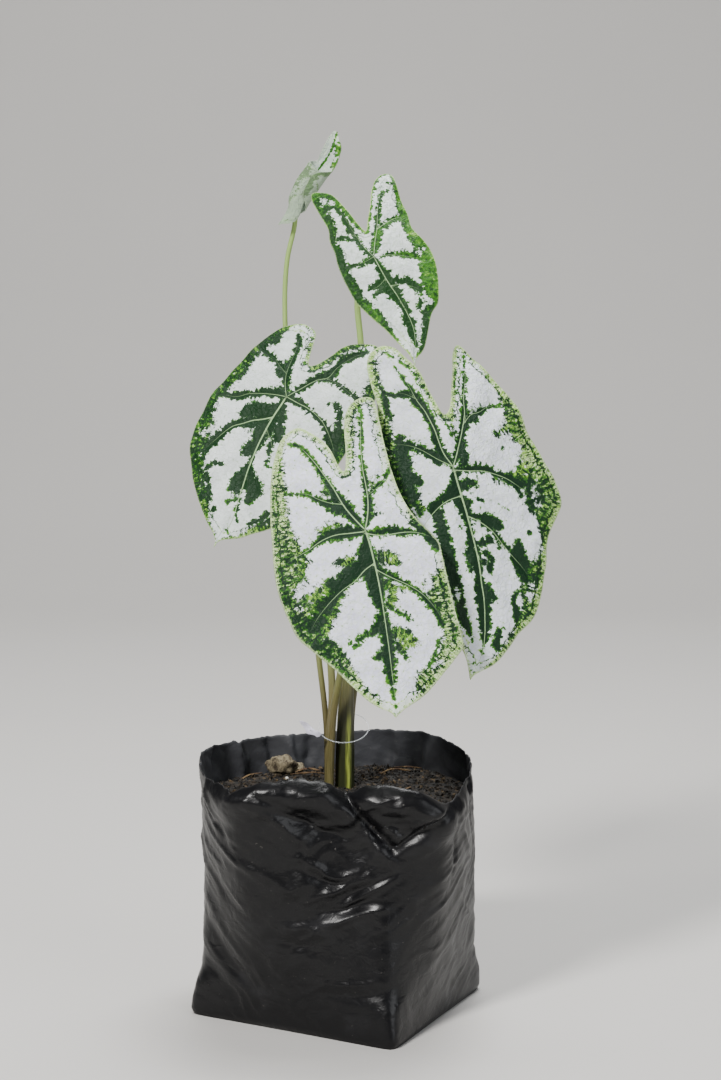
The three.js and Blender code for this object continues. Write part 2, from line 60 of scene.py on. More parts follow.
# Each blade is drawn flat in its own plane, in millimetres: v across, to the right as the leaf
# faces the viewer, and u along the midrib, from the stalk towards the tip. The outline starts in
# the notch between the lobes and runs round by the right lobe and the tip.
# junction and tip: where the stalk and the midrib end, in space. facing: what the blade faces.
# arch and droop: how far the tip and the lobes bend back, the lobes at a distance of lobe behind
# the junction. fold: how steeply the left and the right half fall away from the midrib.
# veins: [width of the pale line at its foot, points].
# dark, lime and white: strokes of points [v, u, half width] in that colour.
# rim: [direction in degrees from the tip, towards the right, width of the mottled margin, how dark].
# halo: width of the light edge round the dark strokes. cream: width of the pale edge line.
# pale: how far in from the edge the margin is lighter. lime_tone: how dark the lime strokes are.
# mottle: how mottled the margin and the lime strokes are. fresh: how bright its dark green is.
FRONT = {
    "junction": (15.5, -75, 291), "tip": (33, -118, 197), "facing": (0, -0.9, 0.35),
    "arch": 6, "droop": 8, "lobe": 75, "fold": (0.12, 0.12), "halo": 0.9, "seed": 1, "cream": 0.8,
    "pale": 2.4, "lime_tone": -0.6, "mottle": 1, "fresh": 0,
    "outline": [
        (-5.6, -36), (-2.8, -48), (-1.7, -59), (0.6, -70), (5, -77), (10.6, -80), (15, -80),
        (17.8, -78), (18.9, -62), (19.4, -46), (20.6, -31), (22.8, -19), (26.7, -7), (36, 7), (39, 12),
        (39.4, 21), (40.6, 43), (41, 54), (42, 66), (41.7, 72), (36, 78), (29.4, 84), (21.7, 91),
        (12.8, 97), (5, 100.6), (1, 103), (-1.1, 104.7), (-2.8, 102), (-8.3, 98), (-15, 92),
        (-22.8, 82), (-30.6, 71), (-39.4, 61), (-46, 52), (-49.4, 41), (-52.2, 28), (-52.8, 17),
        (-51, -7), (-50, -18), (-45.6, -42), (-41.7, -54), (-37.2, -62), (-30.6, -67), (-26, -68),
        (-21.7, -65), (-15, -58), (-10.6, -49), (-8.3, -41),
    ],
    "veins": [
        (0.9, [(0, 0), (1.2, 8), (2.4, 30), (2.1, 56), (0.3, 95)]),
        (0.6, [(0, 0), (-8.3, -14), (-14.5, -31), (-22.5, -48), (-28, -57)]),
        (0.3, [(-9.5, -17), (-16, -19), (-22, -22.5), (-28, -27), (-36, -29), (-43, -31)]),
        (0.6, [(0, 0), (2.4, -7), (4.2, -15), (4.8, -24), (4.7, -36), (6, -50), (8, -62), (9.5, -74)]),
        (0.2, [(4.8, -20), (11, -24), (17, -30), (19.5, -34)]),
        (0.5, [(0, 1), (-8, 0.2), (-16, -0.6), (-24, 1), (-32, 5), (-40, 8), (-47, 11)]),
        (0.5, [(0, 2), (7, 4), (22, 4.2), (29, 5.6), (36, 9)]),
        (0.45, [(2, 19), (-4, 22), (-10, 27), (-18, 31), (-33, 43), (-40, 52)]),
        (0.4, [(2.4, 23), (9, 28), (17, 33), (24, 39), (30, 48), (34, 58)]),
        (0, [(2.2, 50), (-4, 55), (-20, 65), (-26, 71)]),
        (0, [(2.4, 42), (9, 47), (16, 52), (22, 59), (26, 67)]),
    ],
    "dark": [
        [(0, 0, 1.8), (-0.5, 6, 2.4), (-1.5, 16, 6), (0.6, 31, 5.5), (0.4, 37, 4.4), (1.4, 43, 3),
         (1.6, 48, 3), (0.6, 54, 4.5), (2, 64, 4), (1, 69, 4.6), (0.8, 74, 3.8), (-0.2, 84, 2.2),
         (0, 95, 0.6)], [(-4, 20, 5.4), (-13, 23, 5), (-24, 35, 4.4), (-28, 38, 5), (-36, 48, 5)],
        [(-2, 0, 3.5), (-11, -0.6, 4.4), (-21, -1, 3.2), (-30, 4, 1.7), (-40, 9, 2.2), (-45, 10, 2.6)],
        [(-1, -2, 1.6), (-4, -7, 3.4), (-10.5, -17, 4.6), (-15, -28, 2.4), (-19.5, -41, 1.7),
         (-28.5, -57, 1.5), (-33, -57.8, 1.2)],
        [(-12, -14, 4), (-24, -23.5, 1.8), (-28, -26.6, 1.2), (-40, -29.6, 1.4)],
        [(1, -2, 1.6), (3.4, -8, 2.5), (4.6, -14, 2.6), (5.3, -42, 1.2), (8.6, -66, 1), (9, -74, 0.9)],
        [(6, -21, 2), (14, -27, 1.4), (20, -34, 1.4)],
        [(2, 2, 2), (16, 2.6, 2.6), (20, 4, 2.8), (28, 5, 1.6), (31, 4, 4)],
        [(34, 1, 4.5), (36.5, 11, 4.6), (37.5, 15, 2.4)],
        [(4, 24, 2.4), (17, 33, 1.6), (29, 47, 2.6), (33, 59, 1.8)],
        [(5, 43, 1.8), (8, 46.5, 1.5), (17, 53, 0.6)],
        [(-2, 54, 3), (-5, 57, 2.6), (-8, 57, 1.8), (-12, 59, 1.4), (-15.5, 62, 1.8), (-18.5, 60, 1)],
        [(29, 66, 0.8), (27, 72, 0.9), (21, 81, 0.9)], [(-2, 70, 3), (-5.5, 71, 2)],
        [(9, 71, 1.6), (11, 75, 0.9)], [(-11.7, 43, 0.9)], [(0, 97, 0.6), (0, 100, 0.5)],
        [(-45.5, -38, 0.6), (-47, -20, 0.8), (-48, 20, 1), (-47, 34, 1.2)],
    ],
    "lime": [
        [(-24, -4, 2), (-19, -5.4, 2.2), (-13, -5.4, 2)], [(-17, -25, 3), (-15.5, -29, 2)],
        [(-15, 17, 3), (-7, 14, 2)], [(-19, 24, 2)], [(-30, 30, 3.5), (-34, 33, 3)],
        [(7, 17, 4.5), (11, 18, 4), (13.5, 20, 2.4)], [(6, 32, 4), (9, 35, 4), (6, 45, 2)],
        [(15, 35, 2.4), (19, 36, 2)], [(26, 34.5, 1.6)], [(29, 41, 3), (34, 44, 5.5), (37, 56, 5)],
        [(36, 64, 5), (35, 70, 5), (30, 75, 3.5)],
        [(6, 60, 4.5), (10, 62, 5), (14, 65, 4), (8, 67, 4), (16, 67, 2)], [(-3, 57, 2)],
        [(21, 83, 2.6), (17, 86, 3), (14, 90, 2)], [(7.4, -9, 1.6)], [(7.6, -24, 1.6), (8, -29, 1.4)],
        [(3, -55, 1), (3.6, -62, 1.2)], [(9, -27, 1.6), (13, -30, 1)], [(-22, 30, 7), (-35, 47, 9)],
    ],
    "white": [
        [(-42, 30, 1.6), (-38, 27, 3.4), (-34, 25, 1.4)], [(-43, 35.5, 1)],
    ],
    "rim": [
        (-178, 3.6, 0.2), (-165, 2.4, 0.15), (-150, 3, 0.25), (-131, 8.5, 0.35), (-105, 11, 0.4),
        (-70, 20, 0.55), (-60, 16, 0.6), (-35, 14, 0.6), (-27, 12, 0.65), (-20, 11, 0.55),
        (-3, 0.6, 0.1), (4, 0.6, 0.1), (9, 3, 0.3), (14, 7.5, 0.45), (17, 5, 0.4), (22, 4, 0.3),
        (26, 8, 0.4), (31, 11, 0.45), (45, 8.5, 0.5), (56, 1.4, 0.4), (66, 1, 0.4), (74, 4, 0.7),
        (90, 6, 0.8), (98, 3, 0.6), (108, 1, 0.2), (165, 1.8, 0.2), (172, 4.6, 0.4), (176, 5.2, 0.4),
    ],
}

RIGHT = {
    "junction": (64.7, -40, 322), "tip": (74.3, -78, 208.8), "facing": (0.3, -0.85, 0.35),
    "arch": 6, "droop": 8, "lobe": 70, "fold": (0.38, 0.15), "halo": 0.6, "seed": 2, "cream": 0.6,
    "pale": 5, "lime_tone": -0.3, "mottle": 1, "fresh": 0,
    "outline": [
        (-1.3, -31), (2, -34), (9.9, -69), (13.3, -74), (16, -73), (21.7, -66), (29.6, -58), (44, -40),
        (48, -31), (51, -22), (55.5, -13), (60, -4), (65.6, 6), (67.8, 14), (67.3, 21), (63.3, 29),
        (58.8, 36.5), (55.5, 47), (53.8, 58), (48, 78), (42, 87), (33, 95), (26, 103), (17, 111),
        (4, 117), (1.7, 119.5), (1, 115), (0, 108), (-5, 97), (-13, 84), (-22, 70), (-37, 30),
        (-41, 10), (-42, -10), (-39, -25), (-37, -38), (-39, -59), (-37, -70), (-30, -75), (-24, -74),
        (-19, -68), (-14, -61), (-6.4, -42), (-3.6, -34),
    ],
    "veins": [
        (0.9, [(0, 0), (9.9, 44), (12, 64.5), (13, 75.7), (11.5, 99), (7, 112)]),
        (0.5, [(0, 0), (-4, -7.5), (-8.7, -24), (-12, -34), (-15.5, -41), (-18, -48), (-22.5, -58)]),
        (0.2, [(-15, -41), (-21, -44.5), (-27, -46), (-32, -46)]),
        (0.6, [(0, 0), (3.7, -8.5), (11, -31), (11.8, -40), (13.8, -49), (17, -66)]),
        (0.3, [(9.5, -25), (15, -31), (21, -33), (26, -36), (33, -37.3), (40, -37)]),
        (0.5, [(0, 2), (10.5, 2), (20.5, 2), (33, 5.5), (39, 9), (54, 20)]),
        (0.3, [(0, 0), (-5, -3), (-19, -12.5), (-26, -15), (-33, -16)]),
        (0.5, [(7, 28), (14, 31), (21, 36), (26, 42), (32, 49), (38, 55), (43, 62)]),
        (0.45, [(4.5, 16), (-7, 20.5), (-18, 32), (-22, 41)]),
        (0, [(11, 50), (18, 56), (25, 64), (31, 73), (35, 81)]), (0, [(10, 44), (3, 50), (-9, 67)]),
    ],
    "dark": [
        [(0.5, 2, 2), (2, 8, 5), (3, 13, 5.5), (3.5, 18, 5.8), (7, 33, 2.4), (8, 43, 3), (8, 48, 4.6),
         (11, 63, 3.4), (11.5, 68, 4.2), (12.5, 72, 5.8), (12.3, 82, 4), (12, 87, 4.4), (12, 97, 2.4),
         (11, 100, 1), (9.6, 105, 0.6)], [(7, 8, 3.4), (11, 8.6, 3), (13, 6, 1.6)],
        [(12, 18, 0.9), (17, 19.4, 0.6)], [(27, 21.4, 0.5), (32, 24, 0.5)], [(33, -12, 0.7)],
        [(10, 29, 3), (23, 32, 4), (25.5, 34, 2.4)], [(20, 34, 2.4), (29, 45, 1.4), (33, 47, 2)],
        [(37, 42, 1.4), (37, 50, 5), (42, 62, 5.6), (45, 66, 4.4)],
        [(42, 69, 1.6), (33, 72, 1.4), (31.5, 77, 1.8), (33, 83, 3), (32, 87, 2)],
        [(11, 42, 3), (15, 43, 2.6), (19, 41, 2)],
        [(12, 50, 2), (17, 50, 1.6), (19, 53, 2.2), (18, 57, 2.4)], [(25.3, 45.5, 0.8)],
        [(4.4, 48, 1.8), (6, 58, 2), (4, 59.4, 0.7)], [(17, 72, 3), (19, 75, 2)], [(44.5, 37.5, 1.2)],
        [(0.5, 33, 0.5), (2, 35, 0.4)],
        [(-1, -2, 2), (-4, -6, 3.6), (-7, -12, 3), (-9, -25, 2.4), (-13, -36, 3), (-16, -41, 3.4),
         (-17.5, -46, 1.8), (-22.5, -57, 0.8), (-24.5, -60, 0.7)],
        [(-16, -43, 3), (-20, -44.5, 2.6), (-28, -44, 1.8), (-32, -46, 1.8), (-34, -49, 1.8)],
        [(-7, -5, 4), (-19, -12.5, 2.4), (-23, -14, 3)],
        [(-27, -18, 3), (-27.5, -12, 4.6), (-24.6, 15, 3.8), (-19.8, 26, 1.6)],
        [(-22, 5, 3.4), (-19.5, 8.5, 2.4)], [(-33, -46, 2), (-31.5, -32, 1.4)],
        [(1, -2, 1.6), (3.6, -7, 2.4), (6, -11, 3.4), (7, -17, 2.6), (10.4, -27, 3), (11, -33, 2.2),
         (14.4, -56, 1), (17, -68, 0.6)], [(6.6, -9, 3.4), (7.4, -4, 3.2), (5, -1, 2)],
        [(11, -28, 3.2), (15, -29.6, 3.4), (28, -36.6, 1), (33, -37, 0.8), (41, -38, 2)],
        [(2, 1.6, 2), (22, 0.8, 2.4), (26, 3, 2), (36, 6.6, 3.6), (43, 10, 6), (52, 15, 6.5),
         (50, 20, 5)],
        # The next band, beside the front blade's edge, is dark green and in part a painted shadow of that
        # edge.
        [(-1, 13, 4), (-4, 16.5, 3.6), (-8, 18.6, 2.6), (-12, 22, 3.4), (-10.6, 27, 3.4),
         (-5.6, 56, 3.8), (-2.4, 78, 3.2), (-0.6, 86, 3.2), (3, 95, 1.2), (3.6, 98, 0.6)],
        [(21, 92, 1.4), (18.5, 100, 3), (20, 103, 1.6)], [(24.5, 91.5, 0.6)],
        [(46, -22, 1), (57, -3, 1)], [(-27, -69, 0.5), (-18, -61, 0.6), (-8, -42, 0.5)],
        [(-4, -32, 0.9), (0.6, -18.6, 0.7)], [(9, -58, 0.6), (7.4, -48, 0.8), (8, -42, 0.7)],
        [(4, -22, 0.6), (5.5, -17, 0.9), (4.6, -12, 0.9)],
    ],
    "lime": [
        [(-36, -66, 1.8), (-36, -50, 2.6), (-34, -34, 3), (-33.2, -6, 2.4)],
        [(-29, -14, 5), (-29, -5, 5), (-26, 10, 4.8), (-21, 23, 3.4)], [(-25, -3.5, 3.4)],
        [(14, -33, 1.4), (25, -37.4, 0.9)], [(30, -19, 1.6), (38, -25, 2.4)],
        [(25, 6.5, 1.2), (33, 8, 1.6)], [(23, 32, 3.4), (17, 31, 2)], [(39, 56, 6), (43, 62, 7)],
        [(14, 54, 3)], [(18, 74, 2), (16, 76, 2)], [(40, 8, 4), (47, 12, 8), (51, 17, 8)],
        [(2, -20, 1.4), (3, -30, 2.4), (7.4, -52, 1.6)],
    ],
    "white": [
        [(9.5, 31, 0.9), (13, 31.6, 1.1)], [(10.5, 36, 1.2), (12.4, 39, 1.9)],
        [(4.6, 6.4, 1), (8, 5, 1.2), (12, 6.4, 1.4)], [(5.4, 14.6, 1), (8.4, 16.6, 1.3)],
        [(14, 51.5, 0.9), (16.5, 52.6, 0.7)], [(14.4, 61, 1.4), (17.5, 64, 2.4)], [(42, 73, 2.2)],
        [(34, 75, 0.9)], [(44, 67, 1.5)], [(-3.4, 68, 0.9), (-3, 74, 0.9)], [(44, 16, 0.8)],
        [(49, 10, 0.8), (52, 21, 0.9)], [(43, 12.6, 0.7)],
    ],
    "rim": [
        (-160, 3, 0.2), (-138, 5, 0.4), (-120, 10, 0.6), (-80, 14, 0.7), (-40, 16, 0.7),
        (-20, 14, 0.8), (-6, 6, 0.7), (0, 1, 0.2), (4, 0.8, 0.1), (12, 4, 0.6), (19, 4, 0.5),
        (22, 6, 0.5), (28, 14, 0.55), (33, 15, 0.5), (41, 9, 0.6), (44, 6, 0.5), (48, 4, 0.5),
        (52, 4, 0.6), (56, 8, 0.65), (71, 22, 0.5), (78, 26, 0.55), (85, 26, 0.55), (90, 20, 0.5),
        (95, 15, 0.3), (100, 14, 0.3), (106, 10, 0.45), (111, 12, 0.5), (123, 13, 0.6),
        (129, 13, 0.55), (134, 9, 0.5), (147, 3, 0.2), (166, 2, 0.3), (177, 4.6, 0.25),
    ],
}

LEFT = {
    "junction": (-29.4, 0, 358.1), "tip": (-68.2, -38, 278.8), "facing": (-0.3, -0.85, 0.35),
    "arch": 6, "droop": 8, "lobe": 65, "fold": (0.12, 0.12), "halo": 0.3, "seed": 3, "cream": 0.3,
    "pale": 0.8, "lime_tone": -0.8, "mottle": 1, "fresh": 0.04,
    "outline": [
        (3.9, -23), (7.8, -26), (12, -34), (16.7, -41), (22, -46), (29, -49), (35, -49), (41, -43),
        (45, -32), (48, -18), (49, -5), (43, 38), (38, 52), (31, 65), (23.3, 76), (11, 86), (-1.7, 92),
        (-3, 94), (-3.6, 97), (-4.4, 93), (-7.8, 89), (-15.6, 83), (-32, 65), (-43.4, 48), (-46.6, 39),
        (-47.4, 18), (-46, 7), (-43, -3), (-37.8, -19), (-34, -28), (-30, -37), (-24.4, -44),
        (-17.8, -47), (-11, -48), (-4.4, -46), (-1.7, -41), (1.7, -27),
    ],
    "veins": [
        (0.9, [(0, 0), (-3.3, 19.4), (-3.7, 41), (-1.7, 62), (0.5, 77), (-1, 88)]),
        (0.3, [(0, 0), (-4.4, -7), (-6.7, -13), (-9.6, -34), (-12.5, -41)]),
        (0.2, [(-7, -14), (-13, -17.5), (-19, -21.5), (-32, -26)]),
        (0.3, [(0, 0), (12, -16), (17, -20), (19, -28), (28, -41), (33, -45)]),
        (0.2, [(13, -17), (19, -19), (37, -13.5), (43, -10)]),
        (0.3, [(0, 0), (-9, 0.5), (-24, 3.3), (-31, 7), (-38, 8.3), (-44, 10)]),
        (0.4, [(0, 0), (6.7, 1), (14.4, 2), (26, 7), (37, 18), (42, 26)]),
        (0.7, [(-2.6, 14), (-9, 17), (-14, 19), (-19, 22.5), (-25, 26), (-35, 42)]),
        (0.2, [(-3, 22), (4, 30), (9, 38), (16, 48), (22, 58)]), (0, [(-3.7, 40), (-9, 48), (-21, 64)]),
        (0, [(-2.8, 50), (4, 57), (15, 72)]),
    ],
    "dark": [
        [(-1, 3, 2.4), (-2, 9, 4.5), (-7, 12, 5), (-17, 13, 5), (-20, 16, 3.5)],
        [(-3, 12, 5), (-4, 18, 6.5), (-5.4, 31, 4.5), (-7, 35.5, 4.6), (-9, 38.4, 2.6)],
        [(1, 8, 2.8), (5.6, 24, 3.6), (7, 27.6, 2)],
        [(-13, 20, 4.6), (-18, 21.6, 3.8), (-26, 27, 2.8), (-31, 36, 3.6), (-34, 41, 3.4),
         (-35, 46, 2.6)], [(3, 28, 2), (4, 33, 1.2), (7, 43, 0.7)],
        [(-3.6, 40, 1.6), (-3.8, 45, 2.2), (-3, 50, 4.5), (-5, 55, 5.5), (-6, 60, 4.5)],
        [(0, 53, 4.5), (4, 56, 5.2), (7, 58.6, 4), (5, 63, 3.6), (5, 66, 2.2)],
        [(-2, 67, 0.9), (-6.5, 70, 0.7)], [(-0.6, 67, 1.1), (0.6, 72, 0.9), (4, 79.4, 0.6)],
        [(-0.4, 82, 0.5), (-0.4, 85, 0.4)],
        [(-1, -2, 2), (-7.6, -17, 3), (-7.6, -24, 1.9), (-10, -37, 2), (-12.6, -40.6, 1.4)],
        [(-9, -14, 3.4), (-18, -20.6, 1.8), (-32, -26, 2.4)],
        [(-2, 0, 3.6), (-6, -0.6, 4.4), (-14, 0.6, 2.8), (-34, 7.6, 2.4), (-44, 8.4, 2.2)],
        [(1.5, -2, 1.7), (13, -18, 3), (17, -21, 3.8), (19.4, -31, 1.8), (23, -36, 3), (30, -43, 1.6)],
        [(14, -18, 2), (20, -18.8, 1.6), (38, -13, 1.8)],
        [(3, 0.5, 2), (8, 0.6, 2.2), (28, 8.8, 1.8), (36, 16, 4), (40, 22, 4)],
        [(30, -5, 1.4), (33, -2, 1.8), (35, 3, 1.6), (38, 13, 3.6), (37, 20, 3.6)],
        [(-25, -36, 3.4), (-23, -33, 2.4), (-27, -31, 2)],
        [(-28, 55, 1.2), (-25, 51, 1.6), (-20.6, 49.6, 1.2)], [(-27, 57, 1.6), (-18, 72, 2)],
        [(18.4, 70, 2), (12, 78, 1.6)], [(-13, 76, 1.6)], [(25.6, -4, 1.1)],
    ],
    "lime": [
        [(-4, -44, 1.4), (0.8, -24, 1.8)], [(-13.6, 27, 1), (-11, 25.6, 1.2)],
        [(6, 53, 1.6), (9, 57, 1.6)], [(12, -40, 1.2), (15, -36, 1.4)],
    ],
    "white": [
        [(-15, 4.8, 1.3), (-8, 4.8, 1.9), (-5.4, 4, 1.2)], [(-10, 29.6, 1.6), (-14, 27, 1)],
        [(-40, 36, 1.2), (-38, 32, 0.9)],
    ],
    "rim": [
        (-162, 0.8, 0.1), (-154, 3.4, 0.47), (-147, 8, 0.72), (-131, 6, 0.67), (-122, 8, 0.67),
        (-100, 9.5, 0.62), (-70, 6, 0.72), (-55, 11, 0.67), (-47, 12, 0.67), (-20, 7.5, 0.72),
        (-14, 5.4, 0.57), (-8, 1.6, 0.4), (-2, 0.2, 0.1), (4, 1.4, 0.3), (14, 6.5, 0.57),
        (20, 7.5, 0.72), (30, 6, 0.72), (90, 9, 0.67), (120, 7, 0.67), (136, 3, 0.47), (146, 2.4, 0.5),
        (154, 4.6, 0.62), (161, 5, 0.57), (168, 1.4, 0.3),
    ],
}

UPPER = {
    "junction": (20.4, -20, 438.3), "tip": (43.7, -46, 381), "facing": (0.12, -0.9, 0.3),
    "arch": 4, "droop": 6, "lobe": 55, "fold": (0.45, 0.12), "halo": 0.3, "seed": 4, "cream": 0.25,
    "pale": 0.6, "lime_tone": 0.1, "mottle": 0.25, "fresh": 0.13,
    "outline": [
        (1.7, -17), (5.6, -24), (10, -32), (14.4, -41), (20, -48), (25.6, -50), (29.4, -48),
        (29.4, -40), (28.7, -30), (28.7, -20), (27.8, -11), (30.6, -4), (32.8, 2), (33.3, 9),
        (31.7, 19), (28.9, 28), (25.6, 36), (20, 41), (7.8, 60), (1.7, 64), (0, 67.6), (-0.6, 64),
        (-5.6, 49), (-9.4, 40), (-13.9, 31), (-17, 23), (-18.4, 14), (-19.5, 6), (-19.6, -4),
        (-18.6, -12), (-18.4, -20), (-17, -26), (-18.6, -41), (-18.7, -49), (-16.7, -53), (-8.9, -47),
        (-5, -38), (0, -21),
    ],
    "veins": [
        (0.45, [(0, 0), (2.8, 17.8), (5, 26.7), (6.8, 45), (5, 54), (2, 62)]),
        (0.25, [(0, 0), (-2.8, -8), (-4.3, -15), (-7, -33), (-10, -42)]),
        (0.2, [(-4.5, -16), (-9, -19.5), (-14, -21.5), (-17, -23)]),
        (0.35, [(0, 0), (4.2, -9), (8, -16), (14, -30), (18, -37), (22, -42)]),
        (0.3, [(8, -16), (20, -20), (26, -20)]), (0.2, [(0, 0), (-5, 1), (-10, 0.6), (-17, 1)]),
        (0.25, [(0, 0), (12, 2), (24, 7.5), (30, 10)]), (0.2, [(2, 14), (-3, 17), (-8, 18), (-14, 20)]),
        (0.3, [(3.2, 19), (9, 20), (15, 23), (21, 29)]), (0, [(5, 28), (0, 36), (-5, 42)]),
        (0, [(6, 33), (11, 39), (14, 46)]),
    ],
    "dark": [
        [(-0.4, 1, 2.2), (0.4, 6, 2), (1.6, 11, 3.2), (1.6, 16, 5), (2.4, 20, 5.4), (4, 25, 3.6),
         (6, 35, 2.6), (5.8, 40, 3.2), (5, 50, 2.4), (4.6, 57.5, 0.6)],
        [(-2, 17, 3), (-7.6, 16.4, 1.6)], [(-3.4, 21, 2), (-6, 21.6, 1.4), (-8, 23.6, 1)],
        [(-2, 1.5, 2.6), (-5, 1.6, 1.8), (-16, 0.2, 1.4)],
        [(-1, -2, 1.6), (-3.4, -6, 1.5), (-6, -21, 1.9), (-8, -35.5, 1.2), (-10, -38, 1.2),
         (-13, -38.5, 1.2)], [(-7.4, -13.6, 1), (-11.4, -18.6, 1.6), (-14, -19, 1.4)],
        [(-10.6, -42, 0.7)], [(8, -17, 1.6), (20, -38, 1), (23, -38, 1)], [(3, 2, 0.8), (11, 0.6, 1.2)],
        [(5, 16, 2.4), (9, 18, 1.8), (13, 19, 1.8), (18, 26, 2.4)],
        [(16, 32, 1.4), (15, 36, 1.8), (16.4, 40, 1.6), (14, 44, 1.4)], [(25.6, -43, 0.6)],
    ],
    "lime": [
        [(1, -2, 2), (3.4, -6, 3), (8.4, -15, 2.6), (11, -17, 2.4)],
        [(9, -15, 2.4), (14, -17, 2.2), (21, -20, 2.6), (27, -16, 2.4)],
        [(11, 0.6, 1.4), (18, 4, 2.6), (25, 7, 1.8)], [(18, 24, 2.6), (17, 30, 2)],
        [(6.6, 42, 1.4), (5, 47, 1.6)], [(5, 20, 2)],
    ],
    "white": [
        [(25.6, 5, 0.8), (27, 2.6, 0.5)], [(19, 31, 1.2), (21, 34, 1.6)],
        [(14, 39, 0.6), (17, 36, 0.6)], [(19.4, 15, 1.2)], [(29.6, 3, 0.5)],
    ],
    "rim": [
        (-166, 3.4, 0.5), (-160, 4.8, 0.6), (-140, 3.6, 0.6), (-118, 5, 0.68), (-92, 4.4, 0.68),
        (-50, 5.4, 0.62), (-13, 5.4, 0.55), (-8, 3.2, 0.55), (0, 0.3, 0.1), (6, 3, 0.7), (13, 4, 0.68),
        (28, 5, 0.6), (36, 7.4, 0.49), (46, 11, 0.48), (64, 10.5, 0.48), (76, 8.4, 0.48), (100, 7.2, 0.48),
        (110, 5.4, 0.48), (134, 5.4, 0.48), (149, 1.4, 0.5), (172, 2, 0.35),
    ],
}

LEAVES = {"front": FRONT, "right": RIGHT, "left": LEFT, "upper": UPPER}

BLADE = {
    "around": 1.3,  # spacing of the points along a blade's edge
    "inward": 1.15,  # and of the rings from the stalk out
    "rounding": 8,  # half the width of the trough that the midrib runs in
    "edge_ring": 0.35,  # how far inside the edge the last flat ring runs
    "quilt_reach": 5,  # how soon the leaf swells beside a vein
    "stroke_gain": 0.4,  # mm that each dark stroke is wider than its points say
    "fringe": 4,  # mm over which the green beside a dark stroke turns to lime
    "tones": 2.6,  # the darkness that the darkest margin has, the lightest has as much less than 0
    "edge_light": 1.5,  # how much lighter the margin is at the very edge
    "most_lime": 2.3, "most_dark": 1.7,  # limits that keep wide strokes ragged
}
STROKE_SHIFT = 31  # mm that the ragged edge of a stroke is shifted from the one before it

# The youngest blade is still rolled. Its rows climb its own axis: [distance up the axis, sideways
# shift of the roll, radius of the roll, angle of the left edge, angle of the right edge]. Angles
# run from the back round by the right.
YOUNG = {
    "junction": (-22.9, 35, 462.9), "tip": (-1.4, 33, 508.8),
    "depth": 0.75,  # the roll is flattened to this share from front to back
    "spiral": 0.12,  # each half turn runs this share further out, so the edges pass each other
    "midrib": 2,  # degrees, where the midrib runs on the roll
    "seat_row": 4,  # the row that the stalk joins at
    "opens": 23.5,  # the height from which the inner face is seen and has its green
    "rows": [
        (-11.5, -2.8, 5.5, -94, -74), (-7.5, -2.3, 5.3, -186, -52), (-3, -2, 4.8, -222, 0),
        (1, -2.3, 4.9, -226, 60), (5, -3.2, 6, -224, 118), (10, -3.1, 6.4, -214, 168),
        (18, -2.4, 6.9, -206, 180), (23.5, -1.2, 6.9, -204, 182), (27, -0.5, 7, -186, 160),
        (29, 0, 7, -110, 124), (30.5, 0.4, 7, -44, 92), (36, 1.4, 7, -39, 64),
        (43.5, 1.5, 7, -39, 48), (48.5, 0.9, 7, -26, 18), (51.5, 0.3, 7, -10, 3),
    ],
    "across": 120, "up": 150,  # points across and up the roll
}

# Each stalk's middle line above the mix and its radius at the foot and at the top.
# tone: how olive the stalk is at its foot and higher up.
STALKS = {
    "front": {
        "route": [(-5.2, -7, 128), (-4.2, -7.6, 155), (-2.6, -10.5, 177), (1.8, -20, 202),
                  (8, -40, 243), (13, -60, 275)],
        "radius": (2.4, 1.9), "seed": 1, "tone": (0.55, 0.1),
    },
    "right": {
        "route": [(6, 8.8, 128), (6.6, 8.6, 158), (10, 6.5, 192), (24, 0, 246), (45, -14, 294),
                  (58, -28, 314)],
        "radius": (2.5, 1.9), "seed": 2, "tone": (0.8, 0.1),
    },
    "left": {
        "route": [(-5.8, 0, 128), (-5.2, 0, 157), (-3.6, 0, 182), (-4.4, 0.5, 204), (-9, 3, 250),
                  (-17, 7, 300), (-24.5, 9.5, 335)],
        "radius": (2.3, 1.8), "seed": 3, "tone": (0.35, 0.05),
    },
    "upper": {
        "route": [(3.8, 0, 128), (4.2, 0.4, 160), (5.4, 2, 195), (9, 8, 250), (12.5, 15, 320),
                  (13.3, 20, 385), (11.2, 16, 411), (13.5, 3, 428)],
        "radius": (2.4, 1.7), "seed": 4, "tone": (0.9, 0.12),
        # The sheath at the foot: [height, half width, half depth].
        "sheath": [(128, 5.6, 5), (150, 5.5, 4.8), (172, 4.9, 4.2), (195, 3.6, 3.3),
                   (230, 2.4, 2.4)],
    },
    "young": {
        "route": [(-6.4, 6.3, 128), (-6.6, 4.7, 157), (-7.9, 4.2, 176), (-11.3, 8, 204),
                  (-19, 20, 270), (-27.5, 32, 350), (-31.4, 40, 405), (-30, 42, 435),
                  (-25.6, 41.6, 455)],
        "radius": (1.8, 1.4), "seed": 5, "tone": (0.85, 0),
    },
}
STALK_FOOT = 104.3  # where the stalks leave the tuber
STRAIGHT_END = 2.5  # last stretch of a stalk, square to the blade that it carries


# ---- tables: the bag and what is in it

